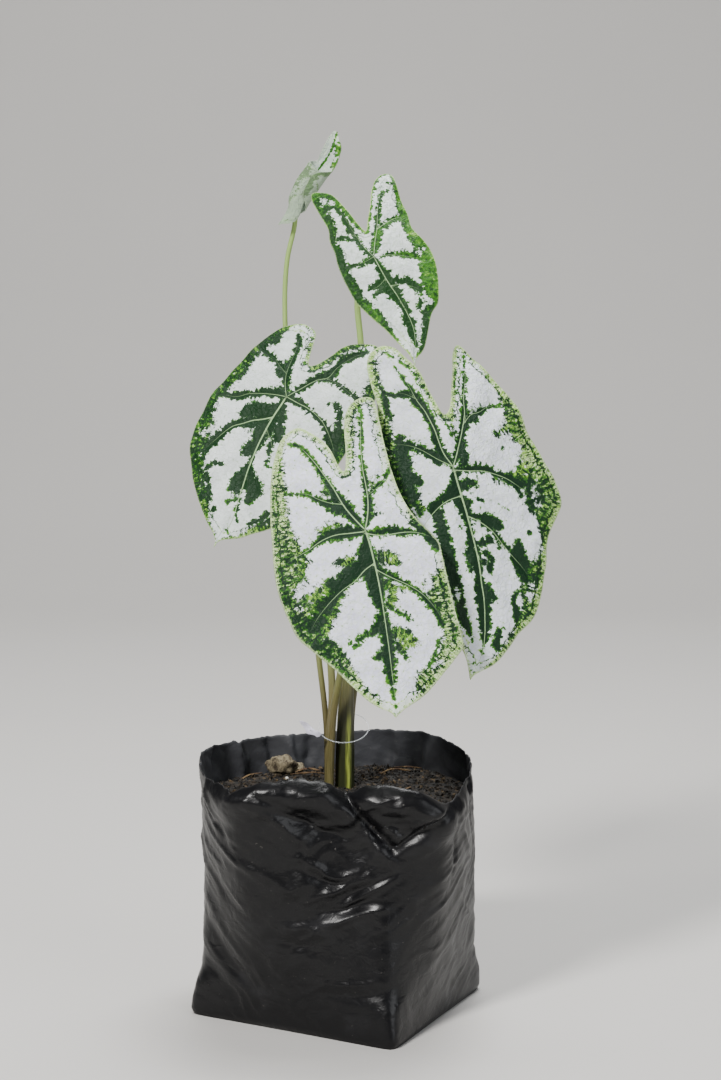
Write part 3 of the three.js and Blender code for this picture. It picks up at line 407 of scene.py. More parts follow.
BAG = {
    # Corners of the filled base, about 127 mm apart: left, front, right and back.
    "corners": [(-88, -24.5), (32, -90), (86.5, 24), (-30, 87)],
    "sharpness": (26, 8), "sharp_up_to": 30,  # of the corners, at the floor and higher up
    "base_inset": 1.5, "base_fold": 3, "side_bulge": 3.5, "corner_pinch": (3, 2, -1.5, 2),
    "lip_reach": 26, "lip_belly": 7, "lip_angle": 272, "lip_spread": 67,
    "girth": 1.42,  # mm of film to a degree
    "pulls": [(27, 4), (-33, 9)],  # slants of the long creases on the right and on the left, seeds
    "calm_corner": 290,  # the corner low down where those creases are weaker
    "soil_edge": 124, "soil_crown": 129,
    "foot": 3.4,  # the film's lowest fold ends at this height
    "sole": 1.2,  # top of the film that lies on the floor
    "sunk": 98,  # the film is shown true to shape inside down to here, below the mix's top
    "slack": 3.6,  # gap between the film and the mix further down
    "sectors": 340, "levels": 128, "lip_levels": 34,
}

# The torn rim, anticlockwise from +X: [angle in degrees, distance from the axis, height].
RIM = [
    (3, 79, 143.5), (20, 80.5, 144), (36, 82, 146), (50, 83, 148), (68, 74, 149), (88, 68, 148),
    (112, 66, 148), (134, 70, 148), (155, 76, 148.5), (176, 80, 149), (196, 82, 145),
    (213, 84, 143.5), (226, 84.5, 142.5), (236, 79, 147), (250, 69.5, 149.5), (264, 65, 147.5),
    (275, 64, 141), (283, 68, 145.5), (294, 76, 146.5), (304, 85, 143), (314, 88, 135),
    (328, 82, 137.5), (345, 78, 142),
]

# Folds in the film: [rise in mm, in if negative; half width in mm; points of angle and height].
FOLDS = [
    # the lip's left pillow, the dark gully under it and the ridge below that
    (1.6, 9, [(238, 143), (250, 139), (260, 133), (269, 128)]),
    (-3.2, 5, [(230, 141), (240, 137), (247, 131), (254, 126), (263, 120), (272, 116)]),
    (1.8, 2, [(228.2, 141.1), (237, 137.4), (246.1, 132.3), (255, 127), (264.5, 120.9)]),
    (3.6, 4.5, [(229, 139), (239, 133), (244, 126), (250, 118), (256, 112)]),
    (1.2, 2.4, [(262, 123.5), (267, 121.5), (274, 118)]),
    # the notch between the pillows, and the gully round the right one
    (-5, 3, [(273, 144), (274.3, 139.8), (279, 132), (284.5, 124.7), (290, 117), (294.4, 110.7)]),
    (-4.4, 3, [(294.4, 110.7), (299, 114.5), (303.2, 118.9), (308, 125), (313.4, 130.9),
               (317, 134)]),
    (3, 7, [(284, 138), (292, 134), (300, 131), (307, 132)]),
    (2.4, 3, [(288, 127), (293, 121), (296, 116)]),
    (1.6, 3, [(284, 117), (289, 109), (294, 103)]),
    # crinkles on the right pillow
    (-1.4, 1.6, [(285, 134), (289, 130), (294, 129), (299, 131)]),
    (1.1, 1.2, [(299, 134), (303, 132), (307, 129)]),
    (-1.1, 1.3, [(291, 137), (292, 132), (296, 128)]),
    (1.2, 1.3, [(293, 122), (295, 117), (296, 113)]),
    # slanting pulls across the front
    (2.3, 3, [(252, 104), (257, 102), (261, 99), (266, 94.5), (272, 93.5), (279, 96)]),
    (-1.4, 3, [(250, 98), (258, 94), (266, 90), (275, 89)]),
    (2.4, 3, [(256, 79), (263, 83), (270, 86), (276, 89.5), (284, 94)]),
    (-1.6, 2.6, [(270, 79), (277, 84), (285, 89), (293, 95)]),
    (2.1, 2.2, [(274, 77), (278, 81), (283, 85.5), (289, 90), (295, 94)]),
    (-1.4, 3, [(262, 74), (270, 74), (278, 77), (286, 82)]),
    (1.9, 2.4, [(264, 66), (270, 68), (276, 71.5), (283, 75), (290, 77)]),
    (2.6, 6, [(246, 84), (252, 88), (258, 93)]),
    (1.8, 4, [(240, 66), (248, 63), (256, 64), (262, 60)]),
    (-1.6, 4, [(238, 56), (248, 54), (258, 52)]),
    (1.0, 2, [(266, 32), (272, 32.5), (279, 34), (286, 37)]),
    (-1.1, 3, [(262, 27), (272, 26), (284, 29), (292, 33)]),
    # soft diagonals low on the left side and folds at the corners
    (1.1, 4, [(199, 70), (208, 58), (218, 45), (230, 34)]),
    (-1.2, 3.4, [(198, 60), (207, 47), (216, 35), (228, 24)]),
    (1.0, 3, [(198, 48), (206, 37), (215, 26), (226, 17)]),
    (-0.9, 3, [(198, 36), (206, 26), (216, 17)]),
    (1.6, 3.4, [(222, 112), (230, 100), (240, 92), (250, 84)]),
    (-1.8, 4, [(206, 128), (214, 118), (224, 108), (234, 100)]),
    (-1.6, 2.6, [(318, 134), (321, 120), (323, 104), (322, 88)]),
    (1.4, 3, [(326, 130), (331, 116), (338, 102), (346, 92)]),
    (-1.3, 3, [(340, 134), (346, 118), (352, 104), (0, 92)]),
    (1.2, 3, [(10, 128), (20, 108), (30, 96), (44, 84)]),
    (-1.4, 3.4, [(60, 140), (66, 122), (76, 106), (90, 94)]),
    (1.5, 3.4, [(100, 132), (108, 114), (120, 100), (132, 84)]),
    (-1.4, 3.4, [(140, 136), (148, 118), (158, 102), (172, 88)]),
    (1.2, 3, [(176, 120), (186, 104), (196, 92)]),
    (-1, 3, [(60, 40), (76, 34), (96, 32), (112, 36)]),
    (1.1, 3, [(130, 60), (146, 50), (164, 44)]),
    (1.2, 3, [(336, 70), (350, 58), (6, 50)]),
    (-1, 3, [(20, 60), (34, 50), (50, 40)]),
    # upright pleats in the free film above the mix, at the back and on the right
    (3.6, 4.5, [(130, 152), (127, 140), (124, 128)]),
    (-4.0, 4, [(119, 152), (117, 138), (114, 124)]),
    (2.8, 5, [(106, 152), (106, 138), (107, 124)]),
    (-2.6, 5, [(88, 152), (86, 138), (82, 122)]),
    (2.6, 5, [(66, 152), (67, 138), (68, 124)]),
    (-3.0, 4, [(46, 152), (48, 136), (51, 120)]),
    (-3.8, 4, [(148, 152), (146, 140), (143, 126)]),
    (3.0, 4, [(160, 152), (161, 140), (162, 126)]),
    (2.6, 4, [(24, 150), (22, 136), (18, 122)]),
    (-2.6, 3.4, [(4, 148), (2, 134), (358, 118)]),
    (2.4, 3, [(345, 146), (342, 134), (338, 122)]),
    (-2.4, 3.4, [(186, 150), (188, 136), (190, 122)]),
    (2.2, 3.4, [(205, 148), (208, 136), (212, 122)]),
]

# Nicks torn in the rim: [angle, depth in mm, half width in degrees].
NICKS = [(350, 3.4, 3), (226.5, 2.2, 2.4), (20, 1.8, 3), (101, 1.6, 4), (146, 2, 3)]

# Crumples: [height, size in mm, shift of the noise].
CREASES = [(2.6, 17, (3, 7, 1)), (1.3, 8.5, (11, 2, 5)), (0.5, 4.2, (5, 13, 8))]
CREASE_SEED = 1795514332  # of the noise that bends the crumples

# Strewn bits: [name, kind, how many to a square centimetre, size from and to in mm, flatness].
CRUMBS = [
    ("soil_crumbs", "crumb", 13, (1.0, 3.2), 0.75), ("soil_chips", "chip", 2.6, (2.6, 6.0), 0.25),
]

# Bits that lie on the mix: a torn lump of husk, [centre, half sizes], dry straws, [points], and
# a white grain that has stuck to the rim, [angle in degrees, radius].
HUSK = [((-34, 37, 133.5), (8.6, 6, 6.2)), ((-25, 41, 131), (4.6, 4, 3.4))]
STRAWS = [
    [(-29, 28, 130.4), (-22, 26, 131.6), (-14, 27, 131.8), (-8, 30, 130.4)],
    [(-26, 32, 131), (-19, 34, 132.6), (-11, 33, 131.6)],
    [(-60, 22, 127), (-54, 30, 129.4), (-46, 34, 130)],
    [(24, 30, 130), (32, 36, 131.8), (42, 37, 130.6)],
    [(30, 48, 129.6), (40, 44, 131.4), (50, 46, 130)],
    [(-12, -36, 130), (-4, -41, 131.6), (5, -42, 130.2)],
    [(34, -20, 130), (40, -12, 131.4), (43, -3, 130.2)],
    [(-48, -8, 129), (-40, -14, 131), (-33, -22, 130.4)],
]
STRAW = {"width": 0.55, "sides": 6, "steps": 12}
GRAIN = (246.6, 1.0)

LOOP = {"centre": (3.2, -0.3, 165), "radius": 14.6, "tilt": 25, "steps": 160, "sides": 10}
TAG = {
    "corner": (-10.4, -7.6, 161.4), "lean": 12, "middle": (-5.2, 3.2), "rings": 11,
    "outline": [
        (0.4, 0.4), (-1.6, -0.6), (-3.2, 0.4), (-5.4, 0.9), (-7.6, 1.4), (-9, 4.2), (-10.4, 6.2),
        (-12.2, 8.8), (-10.6, 8.9), (-8.6, 8.2), (-6.6, 6.9), (-5, 5.4), (-3.2, 3.8), (-1.4, 3),
        (0.3, 1.8),
    ],
}

# The stage, in metres: a floor from near to flat, a bend of that radius and a wall up to top.
STAGE = {"near": 3.2, "flat": 1.4, "bend": 0.9, "top": 4, "half": 4}
CAMERA = {"place": (0.013, -1.395, 0.464), "tipped": 7.7, "view": 25}  # view across, in degrees
LIGHTS = [
    # name, place, point it looks at, share of the key's power, size, tint
    ("key", (-1.0, -1.6, 1.7), (0, 0, 0.3), 1, 0.4, (1, 0.98, 0.96)),
    ("fill", (1.7, -1.3, 0.9), (0, 0, 0.3), 0.25, 1.4, (0.95, 0.97, 1)),
    ("top", (0.2, 0.5, 1.9), (0, 0, 0.2), 0.5, 0.8, (1, 1, 1)),
]
SKY = (0.9, 0.93, 1, 1), 0.18


# ---- settings a user may change

def paint(*steps):
    """The linear colour of a screen colour whose red, green and blue run from 0 to 255."""
    shares = [step / 255 for step in steps]
    return (*(share / 12.92 if share <= 0.04045 else ((share + 0.055) / 1.055) ** 2.4
              for share in shares), 1)


def colour(title, description, value):
    """A colour setting whose default is given in everyday 0 to 255 steps."""
    return FloatVectorProperty(name=title, description=description, subtype="COLOR", size=4,
                               min=0, max=1, default=paint(*value))


def length(title, description, millimetres):
    """A length setting whose default is given in millimetres."""
    return FloatProperty(name=title, description=description, unit="LENGTH", min=0,
                         default=millimetres * MM, precision=5)


class LeafSettings(bpy.types.PropertyGroup):
    """Sizes and colours of the blades."""
    thickness: length("Thickness", "Thickness of a blade", 0.5)
    quilting: length("Quilting", "How far a blade swells between its veins", 1.3)
    ruffle: length("Ruffle", "How far a blade's edge waves", 1.1)
    rib: length("Rib radius", "Radius of the midrib's rib under a blade", 0.8)
    white: colour("White", "Ground colour of the upper side", (233, 235, 255))
    # The grey is painted shade: cloudy patches darken the white ground as the shading of its soft
    # wrinkles.
    shade_grey: colour("Grey", "Cloudy patches of the ground", (198, 199, 224))
    dark: colour("Dark green", "Green along the veins", (6, 40, 16))
    bright: colour("Bright green", "Green between dark and lime", (56, 114, 18))
    lime: colour("Lime", "Light edge of the green and ground of the margins", (138, 184, 66))
    cream: colour("Cream", "Lightest cells of the margin, and its edge", (200, 220, 164))
    vein: colour("Vein", "Pale line of the main veins", (158, 190, 138))
    under: colour("Underside", "Dull bloom over the underside", (128, 150, 116))


class StalkSettings(bpy.types.PropertyGroup):
    """Sizes and colours of the stalks."""
    sides: IntProperty(name="Sides", description="Points round a stalk", default=20, min=8)
    steps: IntProperty(name="Steps", description="Rings along a stalk", default=110, min=20)
    pale: colour("Pale green", "Upper part of the stalks", (148, 178, 96))
    straw: colour("Straw", "Lower part of the stalks", (106, 98, 60))
    olive: colour("Olive", "Streaks on the stalks", (50, 49, 19))
    rust_and_shade: colour("Rust", "Mottles low on the stalks", (92, 58, 34))
    sheath: colour("Sheath", "The dark sheath at the foot", (34, 38, 13))
    # This colour is a painted highlight up the front of the sheath.
    sheath_highlight: colour("Stripe", "The light stripe up the sheath", (150, 162, 66))


class BagSettings(bpy.types.PropertyGroup):
    """Sizes and colours of the grow bag."""
    film: length("Film", "Thickness that the film is shown with", 0.45)
    crumple: length("Crumple", "Height of the fine crumples", 0.6)
    pull: length("Pulls", "Height of the long slanting creases", 0.9)
    black: colour("Black", "Colour of the film", (5, 5, 7))
    # A bluish grey: the film turns towards it in faint smears, and far more on its inside.
    greyer_film: colour("Grime", "Film that soil has dulled", (78, 79, 83))
    dust: colour("Dust", "Specks of dust", (120, 116, 110))


class SoilSettings(bpy.types.PropertyGroup):
    """Sizes and colours of the potting mix."""
    lump: length("Lumps", "Height of the lumps on the mix", 1.8)
    dark: colour("Dark mix", "Damp compost", (12, 10, 7))
    brown: colour("Brown mix", "Coco husk", (46, 35, 21))
    straw: colour("Straw", "Rice husk and straw", (104, 84, 54))
    # This colour is painted shade on the straws: their darker side and their dents.
    rust_and_shade: colour("Wet straw", "Darker side of the straws", (64, 42, 24))
    husk: colour("Husk", "The torn lump of husk", (126, 116, 92))
    grain: colour("Grain", "The white grain on the rim", (226, 226, 222))


class TagSettings(bpy.types.PropertyGroup):
    """Sizes and colours of the loop and the blank tag."""
    wire: length("Wire", "Radius of the clear loop", 0.36)
    sheet: length("Sheet", "Thickness of the blank tag", 0.6)
    # The blank's grey is painted shade: the white tag is darkened for the dim light on it.
    blank: colour("Blank tag", "Colour of the tag", (214, 211, 224))
    fibre: colour("Fibre", "Darker fibres of the tag", (176, 173, 190))
    clear: colour("Clear", "Body of the clear loop", (214, 220, 226))
    haze: colour("Haze", "Cloudier stretches of the loop", (238, 242, 246))


class StageSettings(bpy.types.PropertyGroup):
    """Floor and lights."""
    floor: colour("Floor", "Colour of the floor and the wall behind", (206, 204, 200))
    cloud: colour("Cloud", "Faint darker clouds on the floor", (150, 150, 150))
    key: FloatProperty(name="Key light", description="Power of the main light, in watts",
                       default=78, min=0)


# ---- node trees as expressions

def arithmetic(operation, second=False):
    """A method that adds one Math node. With `second` the socket itself is the second number."""
    def method(flow, *others):
        values = (*others, flow) if second else (flow, *others)
        return flow.tree.node("ShaderNodeMath", values, operation=operation)
    return method


class Flow:
    """A socket in a node tree. Arithmetic on it adds the Math nodes that work it out."""
    __add__ = arithmetic("ADD")
    __radd__ = arithmetic("ADD", second=True)
    __sub__ = arithmetic("SUBTRACT")
    __rsub__ = arithmetic("SUBTRACT", second=True)
    __mul__ = arithmetic("MULTIPLY")
    __rmul__ = arithmetic("MULTIPLY", second=True)
    __abs__ = arithmetic("ABSOLUTE")
    at_least = arithmetic("MAXIMUM")
    at_most = arithmetic("MINIMUM")

    def __init__(self, tree, socket):
        self.tree = tree
        self.socket = socket


class Tree:
    """Builds the nodes of a material or of a geometry tree."""

    def __init__(self, tree):
        self.tree = tree

    def node(self, kind, inputs=(), output=0, **settings):
        """Adds a node. Settings come first, then its sockets, by place, name or identifier."""
        added = self.tree.nodes.new(kind)
        for setting, value in settings.items():
            setattr(added, setting, value)
        pairs = inputs.items() if isinstance(inputs, dict) else enumerate(inputs)
        for key, value in pairs:
            self.feed(self._socket(added.inputs, key), value)
        return Flow(self, self._socket(added.outputs, output)) if added.outputs else None

    def _socket(self, sockets, key):
        if isinstance(key, int):
            return sockets[key]
        known = [socket for socket in sockets if socket.identifier == key]
        named = [socket for socket in sockets if socket.name == key and socket.enabled]
        return (known + named)[0]

    def feed(self, socket, value):
        """Links a socket to what flows into it, or gives it a constant."""
        if isinstance(value, Flow):
            self.tree.links.new(value.socket, socket)
        else:
            socket.default_value = value

    def here(self):
        """The place on the piece, in metres."""
        return self.node("ShaderNodeTexCoord", output="Object")

    def value(self, name, output="Fac"):
        """A number that the mesh holds at each point. With output "Vector", three of them."""
        return self.node("ShaderNodeAttribute", output=output, attribute_name=name)

    def split(self, name):
        """Three numbers that the mesh holds at each point, one by one."""
        parts = self.node("ShaderNodeSeparateXYZ", [self.value(name, "Vector")])
        return [Flow(self, output) for output in parts.socket.node.outputs]

    def join(self, *numbers):
        return self.node("ShaderNodeCombineXYZ", numbers)

    def _stretched(self, place, factors):
        """What a texture reads: the place, times one number or times three."""
        if isinstance(factors, tuple):
            place = self.node("ShaderNodeVectorMath", [place, factors], operation="MULTIPLY")
            factors = 1
        return {"Vector": place, "Scale": factors}

    def noise(self, place, factors=1, detail=2, roughness=0.5, distortion=0):
        return self.node("ShaderNodeTexNoise", {
            **self._stretched(place, factors), "Detail": detail, "Roughness": roughness,
            "Distortion": distortion})

    def cells(self, place, factors, feature="F1", output="Distance"):
        return self.node("ShaderNodeTexVoronoi", self._stretched(place, factors),
                         output=output, feature=feature)

    def step(self, value, low, high):
        """0 at low, 1 at high and smooth between. With low above high it falls."""
        return self.node("ShaderNodeMapRange", {"Value": value, "From Min": low, "From Max": high},
                         interpolation_type="SMOOTHSTEP")

    def mix(self, share, first, second):
        """Two colours mixed."""
        return self.node("ShaderNodeMix", {
            "Factor_Float": share, "A_Color": first, "B_Color": second},
            output="Result_Color", data_type="RGBA")

    def bump(self, height, distance, strength):
        return self.node("ShaderNodeBump", {
            "Height": height, "Distance": distance, "Strength": strength}, output="Normal")


def new_material(name):
    """A material, the tree of its nodes and a function that sets its shader's inputs."""
    material = bpy.data.materials.new(name)
    material.use_nodes = True
    tree = Tree(material.node_tree)
    shader = material.node_tree.nodes["Principled BSDF"]

    def surface(**sockets):
        for title, value in sockets.items():
            tree.feed(shader.inputs[title.replace("_", " ")], value)

    return material, tree, surface


def geometry_group(name, numbers, build, material):
    """A geometry tree with named inputs. `build` adds its nodes, and what it gives back is made
    real and dressed in the material."""
    group = bpy.data.node_groups.new(name, "GeometryNodeTree")
    for way in ("INPUT", "OUTPUT"):
        group.interface.new_socket("Geometry", in_out=way, socket_type="NodeSocketGeometry")
    for title in numbers:
        kind = "NodeSocketInt" if title == "Seed" else "NodeSocketFloat"
        group.interface.new_socket(title, in_out="INPUT", socket_type=kind)
    tree = Tree(group)
    source = group.nodes.new("NodeGroupInput")
    given = {socket.name: Flow(tree, socket) for socket in source.outputs if socket.name}
    real = tree.node("GeometryNodeRealizeInstances", [build(tree, given)])
    dressed = tree.node("GeometryNodeSetMaterial", {"Geometry": real, "Material": material})
    tree.node("NodeGroupOutput", [dressed])
    return group


def grown(base, group, values):
    """Runs a geometry tree on a base object and keeps the result as a plain mesh of its name."""
    modifier = base.modifiers.new(group.name, "NODES")
    modifier.node_group = group
    for item in group.interface.items_tree:
        if item.in_out == "INPUT" and item.name in values:
            modifier[item.identifier] = values[item.name]
    depsgraph = bpy.context.evaluated_depsgraph_get()
    mesh = bpy.data.meshes.new_from_object(base.evaluated_get(depsgraph))
    name = base.name
    bpy.data.objects.remove(base)
    return add_object(name, mesh)


# ---- curves and meshes

def smooth_curve(points, closed=False, per_span=8):
    """Points on a smooth curve through the given ones, of any number of columns."""
    points = np.array(points, float)
    if closed:
        padded = np.vstack([points[-1:], points, points[:2]])
    else:
        padded = np.vstack([2 * points[0] - points[1], points, 2 * points[-1] - points[-2]])
    curve = []
    for i in range(len(padded) - 3):
        p = padded[i:i + 4]
        strides = np.sqrt(np.linalg.norm(np.diff(p[:, :3], axis=0), axis=1))
        knots = np.concatenate([[0], np.cumsum(np.maximum(strides, 1e-4))])
        t = np.linspace(knots[1], knots[2], per_span, endpoint=False)[:, None]
        rows = p
        for reach in (1, 2):
            rows = [((knots[k + reach] - t) * rows[k] + (t - knots[k]) * rows[k + 1])
                    / (knots[k + reach] - knots[k]) for k in range(4 - reach)]
        curve.append(((knots[2] - t) * rows[0] + (t - knots[1]) * rows[1]) / (knots[2] - knots[1]))
    if not closed:
        curve.append(points[-1:])
    return np.vstack(curve)


def evenly(curve, count, closed=False):
    """`count` points spaced evenly along a curve, by its first three columns."""
    if closed:
        curve = np.vstack([curve, curve[:1]])
    run = np.concatenate([[0], np.cumsum(np.linalg.norm(np.diff(curve[:, :3], axis=0), axis=1))])
    at = np.linspace(0, run[-1], count, endpoint=not closed)
    return np.stack([np.interp(at, run, column) for column in curve.T], 1)


def nearest(places, line):
    """For places beside a line, which may have half widths as its third column: how deep each
    lies inside it (outside, less than 0), how far along it, on which stretch and on what side."""
    line = np.column_stack([line, np.zeros(len(line))])
    found = np.array([-1e3, 0, 0, 0])[:, None] * np.ones(len(places))
    run = 0
    for number, (a, b) in enumerate(zip(line, line[1:])):
        step = b[:2] - a[:2]
        offset = places - a[:2]
        size = max(np.hypot(*step), 1e-6)
        share = np.clip(offset @ step / size ** 2, 0, 1)
        depth = a[2] + share * (b[2] - a[2]) - np.hypot(*(offset - share[:, None] * step).T)
        side = np.sign(step[0] * offset[:, 1] - step[1] * offset[:, 0])
        here = np.array([depth, run + share * size, np.full(len(places), number), side])
        found = np.where(depth > found[0], here, found)
        run += size
    return found


def ease(value):
    """0 to 1 with a soft start and end."""
    value = np.clip(value, 0, 1)
    return value * value * (3 - 2 * value)


def unit(vector):
    return np.asarray(vector, float) / np.linalg.norm(vector)


def full_turn(count):
    """Angles of evenly spaced points round a circle, in radians."""
    return np.arange(count) * 2 * math.pi / count


def signed_angle(degrees):
    """The same directions as angles from -180 to 180 degrees."""
    return np.mod(degrees + 180, 360) - 180


def grid_faces(rows, columns, closed=True, start=0, flip=False):
    """Squares between neighbouring rows of points that follow each other in the point list."""
    across = np.arange(columns if closed else columns - 1)
    row = (np.arange(rows - 1) * columns + start)[:, None]
    a, b = row + across, row + (across + 1) % columns
    squares = np.stack([a, b, b + columns, a + columns], -1).reshape(-1, 4)
    return (squares[:, ::-1] if flip else squares).tolist()


def fan_faces(centre, ring, flip=False):
    """Triangles from a point to a closed ring of points."""
    faces = [(centre, a, b) for a, b in zip(ring, np.roll(ring, -1))]
    return [face[::-1] for face in faces] if flip else faces


def loft_faces(rows, columns, start=0, flip=False):
    """Faces of a closed body: rings of points, then the middle points of its first and last end."""
    ring = start + np.arange(columns)
    last = start + (rows - 1) * columns
    faces = grid_faces(rows, columns, start=start, flip=flip)
    faces += fan_faces(last + columns, ring, flip=not flip)
    return faces + fan_faces(last + columns + 1, ring - start + last, flip=flip)


def sheet_faces(upper_rows, lower_rows, columns):
    """Faces of a closed sheet: a middle point and rings for its upper, then for its lower face."""
    ring = np.arange(columns)
    after = np.roll(ring, -1)
    lower = 1 + upper_rows * columns
    top, bottom = lower - columns, lower + 1 + (lower_rows - 1) * columns
    faces = fan_faces(0, ring + 1, flip=True) + grid_faces(upper_rows, columns, start=1, flip=True)
    faces += fan_faces(lower, ring + lower + 1)
    faces += grid_faces(lower_rows, columns, start=lower + 1)
    rim = np.stack([bottom + ring, bottom + after, top + after, top + ring], 1)
    return faces + rim.tolist()


def add_object(name, data):
    """A new object in the scene."""
    added = bpy.data.objects.new(name, data)
    bpy.context.scene.collection.objects.link(added)
    return added


def new_piece(name, points, faces, numbers=None, edges=()):
    """A new smooth object from points in millimetres. `numbers` are what its material reads at
    each point: one column, or a tuple of three."""
    mesh = bpy.data.meshes.new(name)
    mesh.from_pydata((np.asarray(points) * MM).tolist(), edges, faces)
    for title, columns in (numbers or {}).items():
        kind, field = ("FLOAT_VECTOR", "vector") if isinstance(columns, tuple) else ("FLOAT", "value")
        columns = columns if isinstance(columns, tuple) else (columns,)
        table = np.stack([np.broadcast_to(column, len(points)) for column in columns], 1)
        mesh.attributes.new(title, kind, "POINT").data.foreach_set(
            field, table.astype(np.float32).ravel())
    mesh.shade_smooth()
    mesh.update()
    return add_object(name, mesh)


def finish_piece(piece, material, slot, *nodes):
    """Gives a piece its material and its body, and hides the model's nodes that it stands for. Its slot is
    not used.
    """
    piece.data.materials.clear()
    piece.data.materials.append(material)
    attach(piece, BODY)
    if nodes:
        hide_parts(*nodes)


def tube(path, widths, depths, sides):
    """Rings of points round a path. Their widths lie along X as far as the path allows."""
    tangents = np.gradient(path, axis=0)
    tangents /= np.linalg.norm(tangents, axis=1)[:, None]
    side = np.array([1, 0, 0]) - tangents * tangents[:, :1]
    side /= np.linalg.norm(side, axis=1)[:, None]
    back = np.cross(tangents, side)
    turn = full_turn(sides)[:, None]
    return (path[:, None] + side[:, None] * np.cos(turn) * widths[..., None]
            + back[:, None] * np.sin(turn) * depths[..., None])


def ripple(points, size, seed=0, octaves=3):
    """Smooth noise, about -1 to 1, at points in millimetres."""
    shift = Vector((seed * 17.3, seed * 5.1, seed * 9.7))
    return np.array([noise.fractal(Vector(point) / size + shift, 1.0, 2.0, octaves)
                     for point in points])


# ---- blades

def blade_frame(leaf):
    """A blade's origin, its directions along the midrib, across and out of its face, and how far
    its tip lies from its origin."""
    origin = np.array(leaf["junction"], float)
    along = np.array(leaf["tip"], float) - origin
    reach = np.linalg.norm(along)
    along /= reach
    out = np.array(leaf["facing"], float)
    out = unit(out - along * (out @ along))
    return origin, along, np.cross(out, along), out, reach


def on_blade(leaf, places, height):
    """Points in space for places on a blade's plane and heights above it."""
    origin, along, across, out, _ = blade_frame(leaf)
    flat = np.outer(places[:, 1], along) + np.outer(places[:, 0], across)
    return origin + flat + np.outer(height, out)


def blade_bend(leaf, places):
    """How far a blade stands out of its plane: it arches, its lobes droop and its halves fall."""
    v, u = places.T
    reach = blade_frame(leaf)[4]
    slope = np.where(v < 0, *leaf["fold"])
    fall = slope * (np.hypot(v, BLADE["rounding"]) - BLADE["rounding"])
    bend = np.where(u > 0, leaf["arch"] * (u / reach) ** 2, leaf["droop"] * (u / leaf["lobe"]) ** 2)
    return -fall - bend


def stroke_depth(places, strokes):
    """How far each place lies inside the nearest stroke, and how far along that stroke."""
    best = np.array([-1e3, 0])[:, None] * np.ones(len(places))
    for number, stroke in enumerate(strokes):
        line = smooth_curve(stroke, per_span=3) if len(stroke) > 1 else np.array(stroke * 2, float)
        found = nearest(places, line)[:2]
        found[1] += STROKE_SHIFT * number
        best = np.where(found[0] > best[0], found, best)
    return best


def vein_distance(places, veins):
    """Signed and plain distance from the nearest vein, and the width of its pale line there."""
    best = np.array([1e3, 1e3, 0])[:, None] * np.ones(len(places))
    for foot, points in veins:
        line = smooth_curve(points, per_span=4)
        depth, _, stretch, side = nearest(places, line)
        found = np.array([-depth * side, -depth, foot * (1 - stretch / (len(line) - 1)) ** 0.6])
        best = np.where(found[1] < best[1], found, best)
    return best


def rim_distance(places, edge):
    """Distance from a blade's edge and how far round it the nearest point of the edge lies."""
    depth, round_it, _, _ = nearest(places, np.vstack([edge, edge[:1]]))
    return -depth, round_it


def blade_pattern(leaf, places, gap):
    """The leaf's markings at places on it: how green, how dark, how mottled, and along what."""
    table = np.array(sorted(leaf["rim"]))
    direction = np.degrees(np.arctan2(places[:, 0], places[:, 1]))
    band, shade = (np.interp(direction, table[:, 0], table[:, k], period=360) for k in (1, 2))
    dark, along = stroke_depth(places, leaf["dark"])
    dark += BLADE["stroke_gain"]
    lime, lime_along = stroke_depth(places, leaf["lime"])
    white, _ = stroke_depth(places, leaf["white"])
    margin = band - gap
    light = np.maximum(lime, margin)
    green = np.minimum(np.maximum(dark, np.minimum(light, BLADE["most_lime"])), -white)
    tone = (2 * shade - 1) * BLADE["tones"]
    tone -= BLADE["edge_light"] * np.clip(1 - gap / leaf["pale"], 0, 1)
    beside = np.clip(1 + dark / BLADE["fringe"], 0, 1)
    tone = np.where(lime > margin, leaf["lime_tone"] * (1 - beside) + 0.2 * beside, tone)
    darkness = np.maximum(np.minimum(dark - leaf["halo"], BLADE["most_dark"]), tone)
    mottle = leaf["mottle"] * ease((light - dark) / 2 + 0.5)
    return green, darkness, mottle, np.where(dark > lime, along, lime_along)


def blade_grid(leaf):
    """Places on a blade in rings from its stalk to its edge, and the edge itself."""
    curve = smooth_curve(leaf["outline"], closed=True, per_span=10)
    perimeter = np.linalg.norm(curve - np.roll(curve, -1, axis=0), axis=1).sum()
    edge = evenly(curve, round(perimeter / BLADE["around"]), closed=True)
    reach = np.hypot(*edge.T)
    inner = 1 - BLADE["edge_ring"] / reach
    rings = round(reach.max() / BLADE["inward"])
    shares = np.linspace(0, 1, rings + 1)[1:]
    return edge, np.array([edge * (share * inner)[:, None] for share in shares] + [edge])


def blade_surface(leaf, places, edge, settings):
    """Distances of places from the edge and the veins, and their heights: the blade is bent,
    swells between its veins and waves at its edge."""
    gap, round_it = rim_distance(places, edge)
    signed, plain, width = vein_distance(places, leaf["veins"])
    seed = leaf["seed"]
    swell = 1 - np.exp(-(plain / BLADE["quilt_reach"]) ** 2)
    waves = np.sin(round_it / 5.2 + seed) + 0.6 * np.sin(round_it / 2.9 + 2 * seed)
    roll = ripple(np.column_stack([places, np.full(len(places), seed)]), 21, seed, 2)
    groove = 0.35 * np.exp(-(plain / 1.5) ** 2) * (width > 0)
    relief = (settings.quilting / MM * (swell * ease(gap / 9) - 0.5) - groove + 1.1 * roll
              + settings.ruffle / MM * 0.6 * waves * np.exp(-(gap / 7) ** 2))
    height = blade_bend(leaf, places) + ease(np.hypot(*places.T) / 12) * relief
    return gap, round_it, signed, plain, width, height


